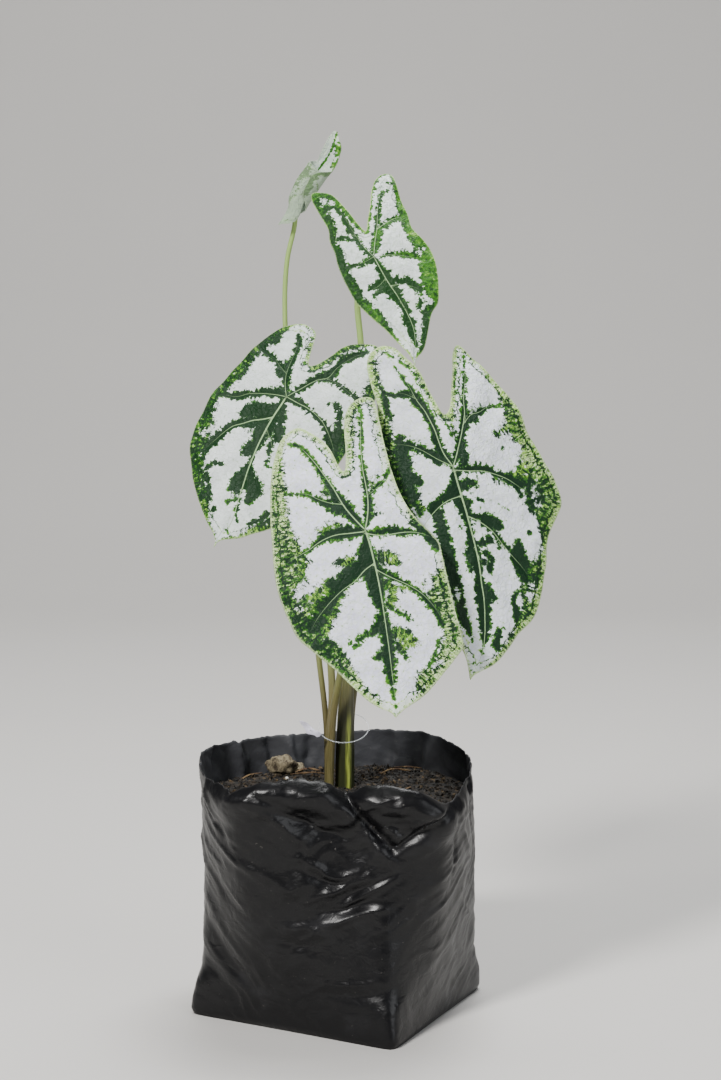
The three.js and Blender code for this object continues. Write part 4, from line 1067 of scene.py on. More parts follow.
def make_blade(name, leaf, settings):
    """One spread blade: an upper and a lower face in rings, joined round the edge."""
    edge, grid = blade_grid(leaf)
    coarse = grid[[*range(1, len(grid) - 2, 2), len(grid) - 2]]
    upper, lower = (np.vstack([[0, 0], rings.reshape(-1, 2)]) for rings in (grid, coarse))
    places = np.vstack([upper, lower])
    gap, round_it, signed, plain, width, height = blade_surface(leaf, places, edge, settings)
    green, darkness, mottle, along = blade_pattern(leaf, places, gap)
    under = np.arange(len(places)) >= len(upper)
    half = settings.thickness / MM / 2
    side = np.where(under, -half, half)
    side[len(upper) - len(edge):len(upper)] = 0
    faces = sheet_faces(len(grid), len(coarse), len(edge))
    return new_piece(f"blade_{name}_fine", on_blade(leaf, places, height + side), faces, {
        "place": (*places.T, leaf["seed"] * 7), "pattern": (green, darkness, mottle),
        "vein": (signed, plain, width), "edge": (gap, round_it, under), "along": along,
        "cream": leaf["cream"], "fresh": leaf["fresh"]})


def leaf_material(settings):
    """Satin leaf: white ground, dark green along the veins, mottled lime margin, dull underside."""
    material, tree, surface = new_material("caladium leaf")
    place = tree.value("place", "Vector")
    green, darkness, mottle = tree.split("pattern")
    signed, plain, width = tree.split("vein")
    gap, round_it, under = tree.split("edge")
    along, cream = tree.value("along"), tree.value("cream")
    # Ragged edges: broad lobes, bays, and teeth that stand square to the vein.
    lobes = tree.noise(place, (0.2, 0.2, 1), roughness=0.6) - 0.5
    bays = tree.noise(place, (0.45, 0.45, 1), roughness=0.6) - 0.5
    bits = tree.noise(place, (1.3, 1.3, 1)) - 0.5
    teeth = tree.noise(tree.join(along * 0.75, plain * 0.12, 4), detail=1) - 0.5
    outer = tree.step(gap, 13.4, 13)
    ragged = lobes * 6 + bays * 8 + bits * 3 + teeth * (6 - outer * 4.6)
    # The finest veins run square to the vein that they leave, or to the blade's edge.
    # Dark green keeps to them, and the light colours to the meshes between.
    run = along + (round_it - along) * outer + bits * 2.4
    reach = plain + (gap - plain) * outer
    wide = abs(tree.noise(tree.join(run * 0.5, reach * 0.12, 3), detail=1.5) - 0.5)
    fine = abs(tree.noise(tree.join(run * 1.05, reach * 0.24, 9), detail=1) - 0.5)
    patch = tree.noise(tree.join(run * 0.42, reach * 0.17, 6), detail=3, roughness=0.6) - 0.5
    # One fine vein gathers the others a few millimetres inside the edge.
    border = 1 - tree.step(abs(gap - 4.3 + lobes * 7 + bits * 2), 0.15, 0.7)
    lines = (1 - tree.step(wide, 0.012, 0.05)).at_least(
        (1 - tree.step(fine, 0.008, 0.04)) * 0.8).at_least(border)
    field = (green + ragged * 0.75 + (lines * 1.8 + patch * 7 - 0.6) * mottle).at_least(
        (border * 1.6 - 0.9 + bays * 5) * (cream - 0.2) * 1.6)
    # The green, from cream and lime cells through bright green to the dark of the main veins.
    shade = darkness + bays * 3 + teeth * 2 + (lines * 3 - 0.8 + patch * 9) * mottle
    shade = shade.at_most(field * (2.8 - cream * 2.2) - 1.1 + lines * 1.2)
    pale = tree.mix(tree.step(patch * 4 + bits * 3 + cream * outer, 0.1, 0.9), settings.lime,
                    settings.cream)
    lively = tree.mix(tree.step(shade, -1.3, -0.35), pale, settings.bright)
    deep = tree.mix(tree.value("fresh"), settings.dark, settings.bright)
    marking = tree.mix(tree.step(shade, -0.25, 0.7), lively, deep)
    # The ground: lavender white with cloudy grey patches of painted shade, which stand for the shading of
    # its soft wrinkles, and a faint mesh of the finest veins.
    cloud = tree.noise(place, (0.12, 0.12, 1), detail=3, roughness=0.6)
    mesh = tree.cells(place, (0.36, 0.36, 1), feature="DISTANCE_TO_EDGE")
    shaded_ground = tree.mix(tree.step(cloud, 0.38, 0.66) * 0.55, settings.white, settings.shade_grey)
    ground = tree.mix((1 - tree.step(mesh, 0, 0.12)) * 0.08, shaded_ground, settings.vein)
    strip = tree.step(gap + bays * 4, 4.6, 3.4) * cream
    tint = (tree.step(field, -1.7, 0) * 0.35).at_least(strip * 0.6)
    ground = tree.mix(tint, ground, settings.cream)
    # Both faces: the pale lines of the veins, the cream edge, and the dull bloom underneath.
    upper = tree.mix(tree.step(field, -0.12, 0.2), ground, marking)
    pale_line = (1 - tree.step(abs(signed) - width * 0.55, -0.12, 0.14)
                 ) * tree.step(1.6 - plain, 0, 0.6) * tree.step(width, 0.05, 0.3)
    upper = tree.mix(pale_line * 0.92, upper, settings.vein)
    rim = 1 - tree.step(gap + bits - cream, -0.25, 0.3)
    upper = tree.mix(rim * 0.5, upper, settings.cream)
    dull = tree.mix(0.6, upper, settings.under)
    ribbed = tree.mix((1 - tree.step(plain, 0.3, 1.4)) * 0.4, dull, settings.vein)
    lower = tree.mix(rim * 0.4, ribbed, settings.cream)
    below = tree.step(under, 0.3, 0.7)
    grain = tree.noise(place, (4, 4, 1))
    height = tree.step(mesh, 0, 0.16) * 0.5 + grain * 0.25 + cloud * 5 - pale_line * 0.6
    surface(Base_Color=tree.mix(below, upper, lower), Roughness=0.46 + grain * 0.12 + below * 0.12,
            Normal=tree.bump(height, 0.0005, 0.8), Specular_IOR_Level=0.22)
    return material


def rib_material(settings):
    """Satin pale green ribs with duller streaks."""
    material, tree, surface = new_material("leaf rib")
    grain = tree.noise(tree.here(), (900, 900, 300), detail=3)
    surface(Base_Color=tree.mix(grain, settings.vein, settings.under), Roughness=0.45,
            Normal=tree.bump(grain, 0.0001, 0.6))
    return material


def rib_nodes(tree, given):
    """Round ribs along the edges of a mesh, as thick as its points say."""
    curve = tree.node("GeometryNodeMeshToCurve", {"Mesh": given["Geometry"]})
    taper = tree.node("GeometryNodeInputNamedAttribute", {"Name": "taper"}, data_type="FLOAT",
                      output="Attribute")
    section = tree.node("GeometryNodeCurvePrimitiveCircle", {"Resolution": 8, "Radius": 1},
                        output="Curve")
    rib = tree.node("GeometryNodeCurveToMesh", {
        "Curve": curve, "Profile Curve": section, "Scale": taper * given["Thickness"],
        "Fill Caps": True})
    return tree.node("GeometryNodeSetShadeSmooth", {"Geometry": rib})


def vein_guides(name, leaf, settings):
    """The paths that the ribs under a blade follow, with their taper."""
    edge, _ = blade_grid(leaf)
    points, edges, taper = [], [], []
    for number, (foot, route) in enumerate(leaf["veins"]):
        places = evenly(smooth_curve(route, per_span=6), 40)
        height = blade_surface(leaf, places, edge, settings)[-1]
        thick = (0.42 + 0.3 * foot if number else 1) * np.linspace(1, 0.25, len(places))
        sunk = settings.thickness / MM / 2 + thick * settings.rib / MM * 0.35
        start = len(points)
        points += on_blade(leaf, places, height - sunk).tolist()
        edges += [(i, i + 1) for i in range(start, len(points) - 1)]
        taper += thick.tolist()
    return new_piece(name, points, [], {"taper": taper}, edges)


# ---- the rolled young blade

def young_frame():
    """The rolled blade's origin and its directions up, to the right and back."""
    origin = np.array(YOUNG["junction"], float)
    up = unit(np.array(YOUNG["tip"], float) - origin)
    back = unit(np.array([0, 1, 0]) - up * up[1])
    return origin, up, np.cross(back, up), back


def young_points(u, shift, radius, angle, lift):
    """Points of the roll at heights and angles."""
    origin, up, right, back = young_frame()
    reach = radius * (1 + YOUNG["spiral"] * angle / 180) + lift
    turn = np.radians(angle)
    sideways = shift + reach * np.sin(turn)
    backwards = YOUNG["depth"] * reach * np.cos(turn)
    return origin + np.outer(u, up) + np.outer(sideways, right) + np.outer(backwards, back)


def make_young_blade(settings):
    """The rolled blade: rings that run over its outer face and back over its inner face."""
    columns, rows = YOUNG["across"], YOUNG["up"]
    table = evenly(smooth_curve(YOUNG["rows"], per_span=12), rows)
    u, shift, radius, left, right = (np.repeat(column, columns) for column in table.T)
    angle = left + (right - left) * np.tile(np.linspace(0, 1, columns), rows)
    unrolled = lambda degrees: np.radians(degrees - YOUNG["midrib"]) * radius
    places = np.column_stack([unrolled(angle), u])
    # The free edges in the unrolled sheet, and how far each place lies from them.
    edges = [np.column_stack([unrolled(side), u])[::4 * columns] for side in (left, right)]
    left_gap, right_gap = (-stroke_depth(places, [edge])[0] for edge in edges)
    from_midrib = np.abs(places[:, 0])
    side_veins = np.abs((u - from_midrib * 0.8) % 12 - 6)
    # The sheet waves, and the edge of the flap rolls out.
    wave = ripple(np.column_stack([places * 0.9, np.zeros(len(u))]), 9, 7, 2)
    rolled_out = np.exp(np.radians(angle - right) * radius / 2)
    wave += 3 * rolled_out * ease((u - 6) / 6) * ease((31 - u) / 4)
    # Green on the outer face: the flap's edge, the veins, and a grey-green patch of painted shade on the
    # roll's left shoulder.
    flap = 3 - right_gap - 4 * (1 - ease((u - 8) / 6))
    shade_patch = 1.3 - np.hypot((angle + 118) / 26, (u - 21) / 7)
    outside = np.maximum.reduce([flap, shade_patch, 0.5 - from_midrib, 0.3 - side_veins])
    # Green on the inner face: the midrib and two patches on the right margin.
    patch = lambda height, wide, tall: 1 - np.hypot((right_gap - 1) / wide, (u - height) / tall)
    margin = 2.5 * np.maximum(patch(42.3, 2.4, 4.4), patch(33.4, 2.8, 3))
    inside = np.where(u < YOUNG["opens"], -2, np.maximum(2 - 3 * from_midrib, margin))
    dark_inside = np.where(right_gap < 3.4, -0.5, -0.1)

    def both(outer, inner):
        """Rows of values for the outer face and, turned round, for the inner one."""
        faces = [np.broadcast_to(face, np.shape(outer)).reshape(rows, columns, -1)
                 for face in (outer, inner)]
        joined = np.concatenate([faces[0], faces[1][:, ::-1]], 1)
        return joined.reshape(2 * len(u), -1).squeeze()

    half = settings.thickness / MM / 2
    points = both(*(young_points(u, shift, radius, angle, side + 0.3 * wave) for side in (half, -half)))
    across, height = both(places[:, 0], places[:, 0]), both(u, u)
    plain = np.minimum(from_midrib, side_veins + 0.6)
    gap = np.minimum(left_gap, right_gap) + 0.3
    one = np.ones(len(u))
    faces = grid_faces(rows, 2 * columns)
    i = np.arange(columns - 1)
    foot = np.stack([i + 1, i, 2 * columns - 1 - i, 2 * columns - 2 - i], 1)
    faces += foot.tolist() + (foot[:, ::-1] + (rows - 1) * 2 * columns).tolist()
    return new_piece("blade_young_fine", points, faces, {
        "place": (across, height, 35),
        "pattern": (both(outside, inside), both(0.2 * one, dark_inside), 0.15),
        "vein": (across, both(plain, plain), both(0.3 * one, 0.04)),
        "edge": (both(gap, gap), height, both(one, 0)), "along": height, "cream": 0.2, "fresh": 0.2})


# ---- stalks

def stalk_end(name):
    """Where a stalk ends, inside the blade that it carries, and the direction it arrives in."""
    if name == "young":
        row = YOUNG["rows"][YOUNG["seat_row"]]
        place = [np.array([value], float) for value in (*row[:3], YOUNG["midrib"])]
        return young_points(*place, 1.2)[0], young_frame()[1]
    origin, _, _, out, _ = blade_frame(LEAVES[name])
    return origin - 0.5 * out, out


def make_stalk(name, settings):
    """One stalk from the tuber to its blade, with its sheath if it has one."""
    data = STALKS[name]
    end, arrive = stalk_end(name)
    route = [(*data["route"][0][:2], STALK_FOOT), *data["route"], end - arrive * STRAIGHT_END, end]
    path = evenly(smooth_curve(route, per_span=16), settings.steps)
    height = path[:, 2]
    share = np.linspace(0, 1, settings.steps)
    radius = data["radius"][0] + (data["radius"][1] - data["radius"][0]) * share
    radius = radius * (1 + 0.3 * ease((share - 0.965) / 0.035))
    width, depth, sheathed = radius, radius, np.zeros(settings.steps)
    if "sheath" in data:
        table = np.array(data["sheath"], float).T
        sheathed = 1 - ease((height - 150) / 70)
        width, depth = (np.where(height < table[0, -1], np.interp(height, table[0], row), radius)
                        for row in table[1:])
    turn = full_turn(settings.sides)
    furrow = 0.012 * np.sin(turn * 7 + data["seed"])
    crease = 0.16 * np.exp(-((turn - 4.55) / 0.25) ** 2) * sheathed[:, None]
    ridge = 0.05 * np.exp(-((turn - 5.1) / 0.3) ** 2) * sheathed[:, None]
    shape = 1 + furrow - crease + ridge
    rings = tube(path, width[:, None] * shape, depth[:, None] * shape, settings.sides)
    rise = height - BAG["soil_crown"]
    every = lambda rows: np.concatenate([np.repeat(rows, settings.sides), rows[[0, -1]]])
    around = [np.concatenate([np.tile(part, settings.steps), [0, 0]])
              for part in (np.cos(turn), np.sin(turn))]
    tone = np.interp(rise, (0, 110), data["tone"])
    return new_piece(f"stalk_{name}_fine", np.vstack([rings.reshape(-1, 3), path[[0, -1]]]),
                     loft_faces(settings.steps, settings.sides),
                     {"stalk": (every(tone), every(rise), every(sheathed)),
                      "around": (*around, data["seed"])})


def stalk_material(settings):
    """Satin stalk: pale green above, straw and olive below, streaked along its length."""
    material, tree, surface = new_material("caladium stalk")
    tone, rise, sheathed = tree.split("stalk")
    x, y, seed = tree.split("around")
    grain = tree.noise(tree.join(x * 2.2 + seed * 3, y * 2.2, rise * 0.018), 2.4, detail=4,
                       roughness=0.6)
    fine = tree.noise(tree.join(x * 9, y * 9 + seed, rise * 0.12), detail=3)
    blotches = tree.noise(tree.join(x + seed * 5, y, rise * 0.11), 1.6, detail=4, roughness=0.7)
    low = 1 - tree.step(rise + grain * 40, 60, 165)
    body = tree.mix(low, settings.pale, settings.straw)
    streak = tree.step(grain + tone * 0.3, 0.56, 0.76)
    body = tree.mix(streak * (0.2 + tone * 0.65), body, settings.olive)
    spots = tree.step(blotches, 0.56, 0.68) * tone
    body = tree.mix(spots * 0.6, body, settings.rust_and_shade)
    # A painted highlight: a bright band runs up the front of the dark sheath, right of its groove, on the
    # side that faces the front.
    facing = x * 0.38 - y * 0.92
    sheath_highlight = tree.step(facing + fine * 0.05, 0.93, 1) * tree.step(48 - rise + grain * 14, 0, 26)
    shine = tree.mix(tree.step(grain, 0.35, 0.7), settings.sheath_highlight, settings.sheath)
    sheath = tree.mix(tree.step(grain, 0.5, 0.72) * 0.35, settings.sheath, settings.olive)
    sheath = tree.mix(sheath_highlight * 0.9, sheath, shine)
    surface(Base_Color=tree.mix(sheathed, body, sheath), Roughness=0.36 + fine * 0.15,
            Normal=tree.bump(grain + fine * 0.4, 0.00025, 0.8))
    return material


# ---- grow bag

def around_table(column, degrees):
    """A smooth closed curve through one column of the rim's table."""
    table = np.array(RIM, float)
    angle = np.mod(degrees, 360)
    i = np.searchsorted(table[:, 0], angle, side="right")
    a, b, c, d = (table[np.mod(i + k, len(table))] for k in (-2, -1, 0, 1))
    ahead = lambda start, end: np.mod(end[..., 0] - start[..., 0], 360)
    span = ahead(b, c)
    t = np.mod(angle - b[..., 0], 360) / span
    slope_b = (c[..., column] - a[..., column]) / (ahead(a, b) + span) * span
    slope_c = (d[..., column] - b[..., column]) / (ahead(c, d) + span) * span
    return ((2 * t ** 3 - 3 * t ** 2 + 1) * b[..., column] + (t ** 3 - 2 * t ** 2 + t) * slope_b
            + (3 * t ** 2 - 2 * t ** 3) * c[..., column] + (t ** 3 - t ** 2) * slope_c)


def base_radius(degrees, z):
    """Distance from the axis to the base's outline, whose corners grow rounder higher up."""
    total = 0
    sharpness = BAG["sharpness"][0] + np.diff(BAG["sharpness"]) * ease(z / BAG["sharp_up_to"])
    corners = np.array(BAG["corners"], float)
    turn = np.radians(degrees)
    for here, following in zip(corners, np.roll(corners, -1, axis=0)):
        side = following - here
        outward = unit((side[1], -side[0]))
        facing = outward[0] * np.cos(turn) + outward[1] * np.sin(turn)
        total = total + (np.maximum(0, facing) / (outward @ here)) ** sharpness
    return total ** (-1 / sharpness)


def swelling(degrees):
    """How far the wall stands out at mid height: it swells between corners and is drawn in there."""
    corners = [math.degrees(math.atan2(y, x)) for x, y in BAG["corners"]]
    away = np.array([np.abs(signed_angle(degrees - corner)) for corner in corners])
    corner = np.cos(2 * np.radians(np.minimum(45, away.min(0)))) ** 2
    pinch = np.array(BAG["corner_pinch"])[away.argmin(0)]
    return BAG["side_bulge"] * (1 - corner) - pinch * corner


def bag_radius(degrees, z):
    """Distance from the axis to the bag's smooth outside at an angle and a height."""
    height = around_table(2, degrees)
    up = np.minimum(1, z / height)
    straight = base_radius(degrees, z) * (1 - ease(up)) + around_table(1, degrees) * ease(up)
    swollen = straight + swelling(degrees) * np.sin(math.pi * up)
    footed = swollen - BAG["base_inset"] * np.maximum(0, 1 - z / BAG["base_fold"])
    lip = np.maximum(0, 1 - (height - z) / BAG["lip_reach"])
    away = np.minimum(1, np.abs(degrees - BAG["lip_angle"]) / BAG["lip_spread"])
    front = np.sqrt(np.maximum(0, np.cos(away * math.pi / 2)))
    return footed + BAG["lip_belly"] * front * 6.75 * lip ** 2 * (1 - lip)


def fold_height(degrees, z):
    """How far the drawn folds lift the film."""
    lift = np.zeros(degrees.shape)
    for rise, wide, line in FOLDS:
        line = np.array(line, float)
        line[:, 0] = np.degrees(np.unwrap(np.radians(line[:, 0])))
        path = smooth_curve(line * (BAG["girth"], 1), per_span=5)
        middle = path[:, 0].mean()
        x = signed_angle(degrees - middle / BAG["girth"]) * BAG["girth"] + middle
        close = np.abs(x - middle) < np.ptp(path[:, 0]) / 2 + 4 * wide
        depth, _, stretch, _ = nearest(np.column_stack([x[close], z[close]]), path)
        profile = np.exp(-(depth / wide) ** 2) * 0.6 + 0.4 * np.maximum(0, 1 + depth / wide)
        fade = np.sin(math.pi * np.clip(stretch / (len(path) - 1), 0.06, 0.94))
        lift[close] += rise * profile * (0.35 + 0.65 * fade)
    return lift


def value_noise(x, y, seed):
    """Smooth noise, -1 to 1, over a plane."""
    table = np.random.default_rng(seed).uniform(-1, 1, (64, 64))
    i, j = np.floor(x).astype(int), np.floor(y).astype(int)
    s, t = ease(x - i), ease(y - j)
    at = lambda di, dj: table[np.mod(i + di, 64), np.mod(j + dj, 64)]
    low = at(0, 0) * (1 - s) + at(1, 0) * s
    high = at(0, 1) * (1 - s) + at(1, 1) * s
    return low * (1 - t) + high * t


def pulls(degrees, z):
    """Long slanting creases, -1 to 1, that the full bag pulls its film into."""
    x = signed_angle(degrees - BAG["lip_angle"]) * BAG["girth"]
    fields = []
    for slant, seed in BAG["pulls"]:
        c, s = math.cos(math.radians(slant)), math.sin(math.radians(slant))
        along, across = (x * c + z * s) / 34 + 20, (z * c - x * s) / 8.5 + 20
        bend = value_noise(along * 1.7, across * 0.5, seed + 1) * 0.8
        crest = 1 - 2 * np.abs(value_noise(along, across + bend, seed)) ** 0.8
        small = 1 - 2 * np.abs(value_noise(along * 1.6, across * 2.3 + bend, seed + 2)) ** 0.8
        fields.append(0.7 * crest + 0.3 * small)
    left = ease((-x - 12) / 40) * ease((x + 150) / 40)
    seam = ease((250 - np.abs(x)) / 20)
    corner = np.abs(signed_angle(degrees - BAG["calm_corner"]))
    calm = 0.6 * ease(1.6 - corner / 25) * ease((75 - z) / 20)
    low = (0.75 + 0.25 * ease((z - 30) / 50)) * (1 - calm)
    return (fields[0] * (1 - left) + fields[1] * left) * seam * low


def crumples(points):
    """Sharp creases between soft facets, from ridged noise, about -1 to 1."""
    noise.seed_set(CREASE_SEED)
    values = np.ones(len(points))
    for i, point in enumerate(points):
        place = Vector(point)
        warped = place + noise.noise_vector(place / 31) * 6
        for height, size, shift in CREASES:
            values[i] -= height * abs(noise.noise(warped / size + Vector(shift)))
    return values


class Film:
    """The bag's film: where its outside and inside lie at an angle and a height."""

    def __init__(self, settings):
        self.settings = settings
        self.thickness = settings.film / MM
        count = BAG["sectors"]
        self.degrees = np.arange(count) * 360 / count
        ragged = np.array([noise.noise(Vector((a / 5, 3, 1))) + 0.6 * noise.noise(
            Vector((a / 1.9, 8, 2))) for a in self.degrees])
        ragged[-8:] *= np.linspace(1, 0, 8)
        ragged[:8] *= np.linspace(0, 1, 8)
        self.rim = around_table(2, self.degrees) + 1.1 * ragged
        for angle, depth, wide in NICKS:
            self.rim -= depth * np.maximum(0, 1 - np.abs(signed_angle(self.degrees - angle)) / wide)

    def level(self, *heights):
        """Rows of points that each keep one height all the way round."""
        return np.repeat(np.array(heights, float)[:, None], BAG["sectors"], 1)

    def radius(self, z, inset, still=0):
        """Rows of distances from the axis for rows of heights; `still` keeps creases flat."""
        degrees = np.broadcast_to(self.degrees, z.shape)
        smooth = bag_radius(degrees, z)
        spots = self.points(z * 0.75, smooth)
        rough = crumples(spots.reshape(-1, 3)).reshape(z.shape)
        free = ease(z / 9) * (1 - still)
        loose = 0.35 + 0.65 * ease((z - 90) / 40)
        tied = 0.7 + 0.3 * ease((self.rim - z) / 5)
        lift = (fold_height(degrees, z) + self.settings.crumple / MM * rough * loose
                + self.settings.pull / MM * pulls(degrees, z))
        return smooth + free * tied * lift - inset

    def points(self, z, radius):
        turn = np.radians(self.degrees)
        return np.stack([radius * np.cos(turn), radius * np.sin(turn), z], -1)

    def wall(self, *bands):
        """Points of rows of heights, each band given as its heights and its inset from the
        outside, or as heights, inset and whether creases are kept out."""
        return np.vstack([self.points(band[0], self.radius(*band)).reshape(-1, 3) for band in bands])


def make_bag(film):
    """The bag: its outside up to the rim, and its inside down past the mix and on to the floor."""
    foot = film.level(0, 0.5, 1.6, BAG["foot"])
    rise = BAG["foot"] + (film.rim - BAG["foot"]) * np.linspace(0, 1, BAG["levels"])[1:, None]
    outer = np.vstack([foot, rise])
    lip = film.rim - (film.rim - BAG["sunk"]) * np.linspace(0, 1, BAG["lip_levels"])[:, None]
    deep = film.level(BAG["sunk"] - 6, 60, 30, 10, BAG["sole"])
    wall = film.wall((outer, 0), (lip, film.thickness), (deep, BAG["slack"] - 1, 1))
    inside = np.arange(len(wall)) >= outer.size
    return new_piece("grow_bag_fine", [*wall, (0, 0, 0), (0, 0, BAG["sole"])],
                     loft_faces(len(wall) // BAG["sectors"], BAG["sectors"]),
                     {"inside": [*inside, 0, 1]})


def film_material(settings):
    """Glossy black film with fine wrinkles and specks of dust, greyer and duller inside."""
    material, tree, surface = new_material("black film")
    place, inside = tree.here(), tree.value("inside")
    wrinkle = tree.noise(place, (110, 110, 150), detail=3, distortion=0.5)
    crease = 1 - abs(wrinkle - 0.5) * 4
    smear = tree.noise(place, (38, 38, 60), detail=5, roughness=0.6)
    dust = tree.step(tree.noise(place, 420), 0.72, 0.8)
    # The film turns greyer in faint smears, and more so on its inside.
    greyer_film = tree.mix(tree.step(smear, 0.52, 0.8) * 0.1 + inside * 0.6, settings.black,
                     settings.greyer_film)
    surface(Base_Color=tree.mix(dust * 0.3, greyer_film, settings.dust),
            Roughness=0.26 + smear * 0.16 + inside * 0.25 + dust * 0.2,
            Normal=tree.bump(crease * 0.6 + wrinkle, 0.0004, 0.6), Specular_IOR_Level=0.3)
    return material


# ---- potting mix

def make_soil(film, settings):
    """The mix: it fills the bag and shows its lumpy top inside the lip."""
    gap = film.thickness + 0.5
    edge, crown = BAG["soil_edge"], BAG["soil_crown"]
    deep = film.level(1.6, 12, 60, BAG["sunk"] - 6)
    near = film.level(*range(BAG["sunk"] + 1, edge - 1, 3))
    shares = np.linspace(1, 0, 64)[:-1, None]
    spread = film.radius(film.level(edge), gap) * shares
    top = film.points(0 * spread, spread)
    flat = top.reshape(-1, 3)
    lumps = ripple(flat, 13, 3, 4) + 0.6 * np.abs(ripple(flat, 4.4, 5, 3))
    calm = ease((1 - shares) / 0.04)
    top[..., 2] = (edge + (crown - edge) * np.sqrt(1 - shares ** 2)
                   + calm * settings.lump / MM * lumps.reshape(top.shape[:2]))
    wall = film.wall((deep, BAG["slack"], 1), (near, gap))
    points = [*wall, *top.reshape(-1, 3), (0, 0, 1.6), (0, 0, crown)]
    rows = len(points) // BAG["sectors"]
    return new_piece("soil_fine", points, loft_faces(rows, BAG["sectors"])), top


def soil_material(settings, name="potting mix", lift=0):
    """Damp crumbly mix, dark brown with lighter bits of husk."""
    material, tree, surface = new_material(name)
    place = tree.here()
    clods = tree.noise(place, 170, detail=6, roughness=0.7)
    tone = tree.node("ShaderNodeSeparateColor", [tree.cells(place, 520, output="Color")])
    brown = tree.mix(tree.step(clods, 0.44, 0.74), settings.dark, settings.brown)
    mixed = tree.mix(tree.step(tone, 0.86 - lift * 0.5, 1.05) * 0.6, brown, settings.straw)
    surface(Base_Color=mixed, Roughness=0.92, Normal=tree.bump(clods + tone * 0.3, 0.0012, 0.9))
    return material


def scatter_nodes(tree, given):
    """Irregular bits strewn over a surface, each turned and sized at random."""
    seed = given["Seed"]
    spots = tree.node("GeometryNodeDistributePointsOnFaces", {
        "Mesh": given["Geometry"], "Density": given["Density"], "Seed": seed}, output="Points")
    turn = tree.node("FunctionNodeRandomValue", {
        "Min": (0, 0, 0), "Max": (6.28, 6.28, 6.28), "Seed": seed}, data_type="FLOAT_VECTOR")
    size = tree.node("FunctionNodeRandomValue", {
        "Min_001": given["Smallest"], "Max_001": given["Largest"], "Seed": seed},
        output=1, data_type="FLOAT")
    ball = tree.node("GeometryNodeMeshIcoSphere", {"Radius": 0.5, "Subdivisions": 1})
    shape = tree.node("GeometryNodeTransform", {
        "Geometry": ball, "Scale": tree.join(1, 0.7, given["Flatness"])})
    placed = tree.node("GeometryNodeInstanceOnPoints", {
        "Points": spots, "Instance": shape, "Rotation": turn, "Scale": size})
    real = tree.node("GeometryNodeRealizeInstances", [placed])
    rough = tree.node("ShaderNodeTexNoise", {
        "Vector": tree.node("GeometryNodeInputPosition"), "Scale": 900, "Detail": 2}, output="Color")
    push = tree.node("ShaderNodeVectorMath", [rough, (0.5, 0.5, 0.5)], operation="SUBTRACT")
    far = tree.node("ShaderNodeVectorMath", {0: push, "Scale": given["Largest"]},
                    operation="SCALE")
    return tree.node("GeometryNodeSetPosition", {"Geometry": real, "Offset": far})


def rough_lump(name, centre, radii, seed, rows=22, columns=30):
    """A closed lump with a torn, knobbly surface."""
    fall = np.linspace(0, math.pi, rows + 2)[1:-1, None]
    turn = full_turn(columns)
    ball = np.stack([np.sin(fall) * np.cos(turn), np.sin(fall) * np.sin(turn),
                     np.cos(fall) * np.ones(columns)], -1).reshape(-1, 3)
    ball = np.vstack([ball, [[0, 0, 1], [0, 0, -1]]])
    swell = 1 + 0.34 * ripple(ball, 0.62, seed, 4)
    return new_piece(name, np.array(centre) + ball * radii * swell[:, None],
                     loft_faces(rows, columns, flip=True))


def make_straws():
    """The dry straws on the mix, each a thin flat tube with closed ends."""
    steps, sides = STRAW["steps"], STRAW["sides"]
    taper = STRAW["width"] * (1 - 0.5 * np.linspace(-1, 1, steps) ** 4)[:, None]
    points, faces = [], []
    for route in STRAWS:
        path = evenly(smooth_curve(route), steps)
        faces += loft_faces(steps, sides, start=len(points))
        points += [*tube(path, taper * 1.3, taper * 0.7, sides).reshape(-1, 3), path[0], path[-1]]
    return new_piece("straws", points, faces)


def husk_material(name, pale, deep):
    """Dry husk or straw: pale fibres, darker in its dents, where the deep colour is painted shade."""
    material, tree, surface = new_material(name)
    place = tree.here()
    fibre = tree.noise(place, (900, 300, 500), detail=4, roughness=0.65)
    hollow = tree.noise(place, 190, detail=3)
    # The deep colour is painted shade in the dents that the bump makes.
    surface(Base_Color=tree.mix(tree.step(fibre * 0.5 + hollow * 0.5, 0.4, 0.6), deep, pale),
            Roughness=0.9, Normal=tree.bump(fibre + hollow * 2, 0.0008, 0.8))
    return material


# ---- tag and loop

def make_loop(settings):
    """The clear loop round the stalks: a tilted ring of filament."""
    steps, sides = LOOP["steps"], LOOP["sides"]
    turn, angle = full_turn(steps)[:, None], full_turn(sides)[:, None]
    tilt = math.radians(LOOP["tilt"])
    slope = np.array([0, math.cos(tilt), math.sin(tilt)])
    outward = np.cos(turn) * (1, 0, 0) + np.sin(turn) * slope
    wire = settings.wire / MM
    rings = (np.array(LOOP["centre"]) + outward[:, None] * (LOOP["radius"] + wire * np.cos(angle))
             + np.cross((1, 0, 0), slope) * wire * np.sin(angle))
    # The last ring is the first one again.
    faces = np.array(grid_faces(steps + 1, sides, flip=True)) % (steps * sides)
    return new_piece("tag_loop_fine", rings.reshape(-1, 3), faces.tolist())


def loop_material(settings):
    """Clear plastic filament."""
    material, tree, surface = new_material("clear nylon")
    haze = tree.noise(tree.here(), 300)
    surface(Base_Color=tree.mix(haze, settings.clear, settings.haze),
            Roughness=0.08 + haze * 0.1, Alpha=0.16 + haze * 0.14, Specular_IOR_Level=0.8)
    return material


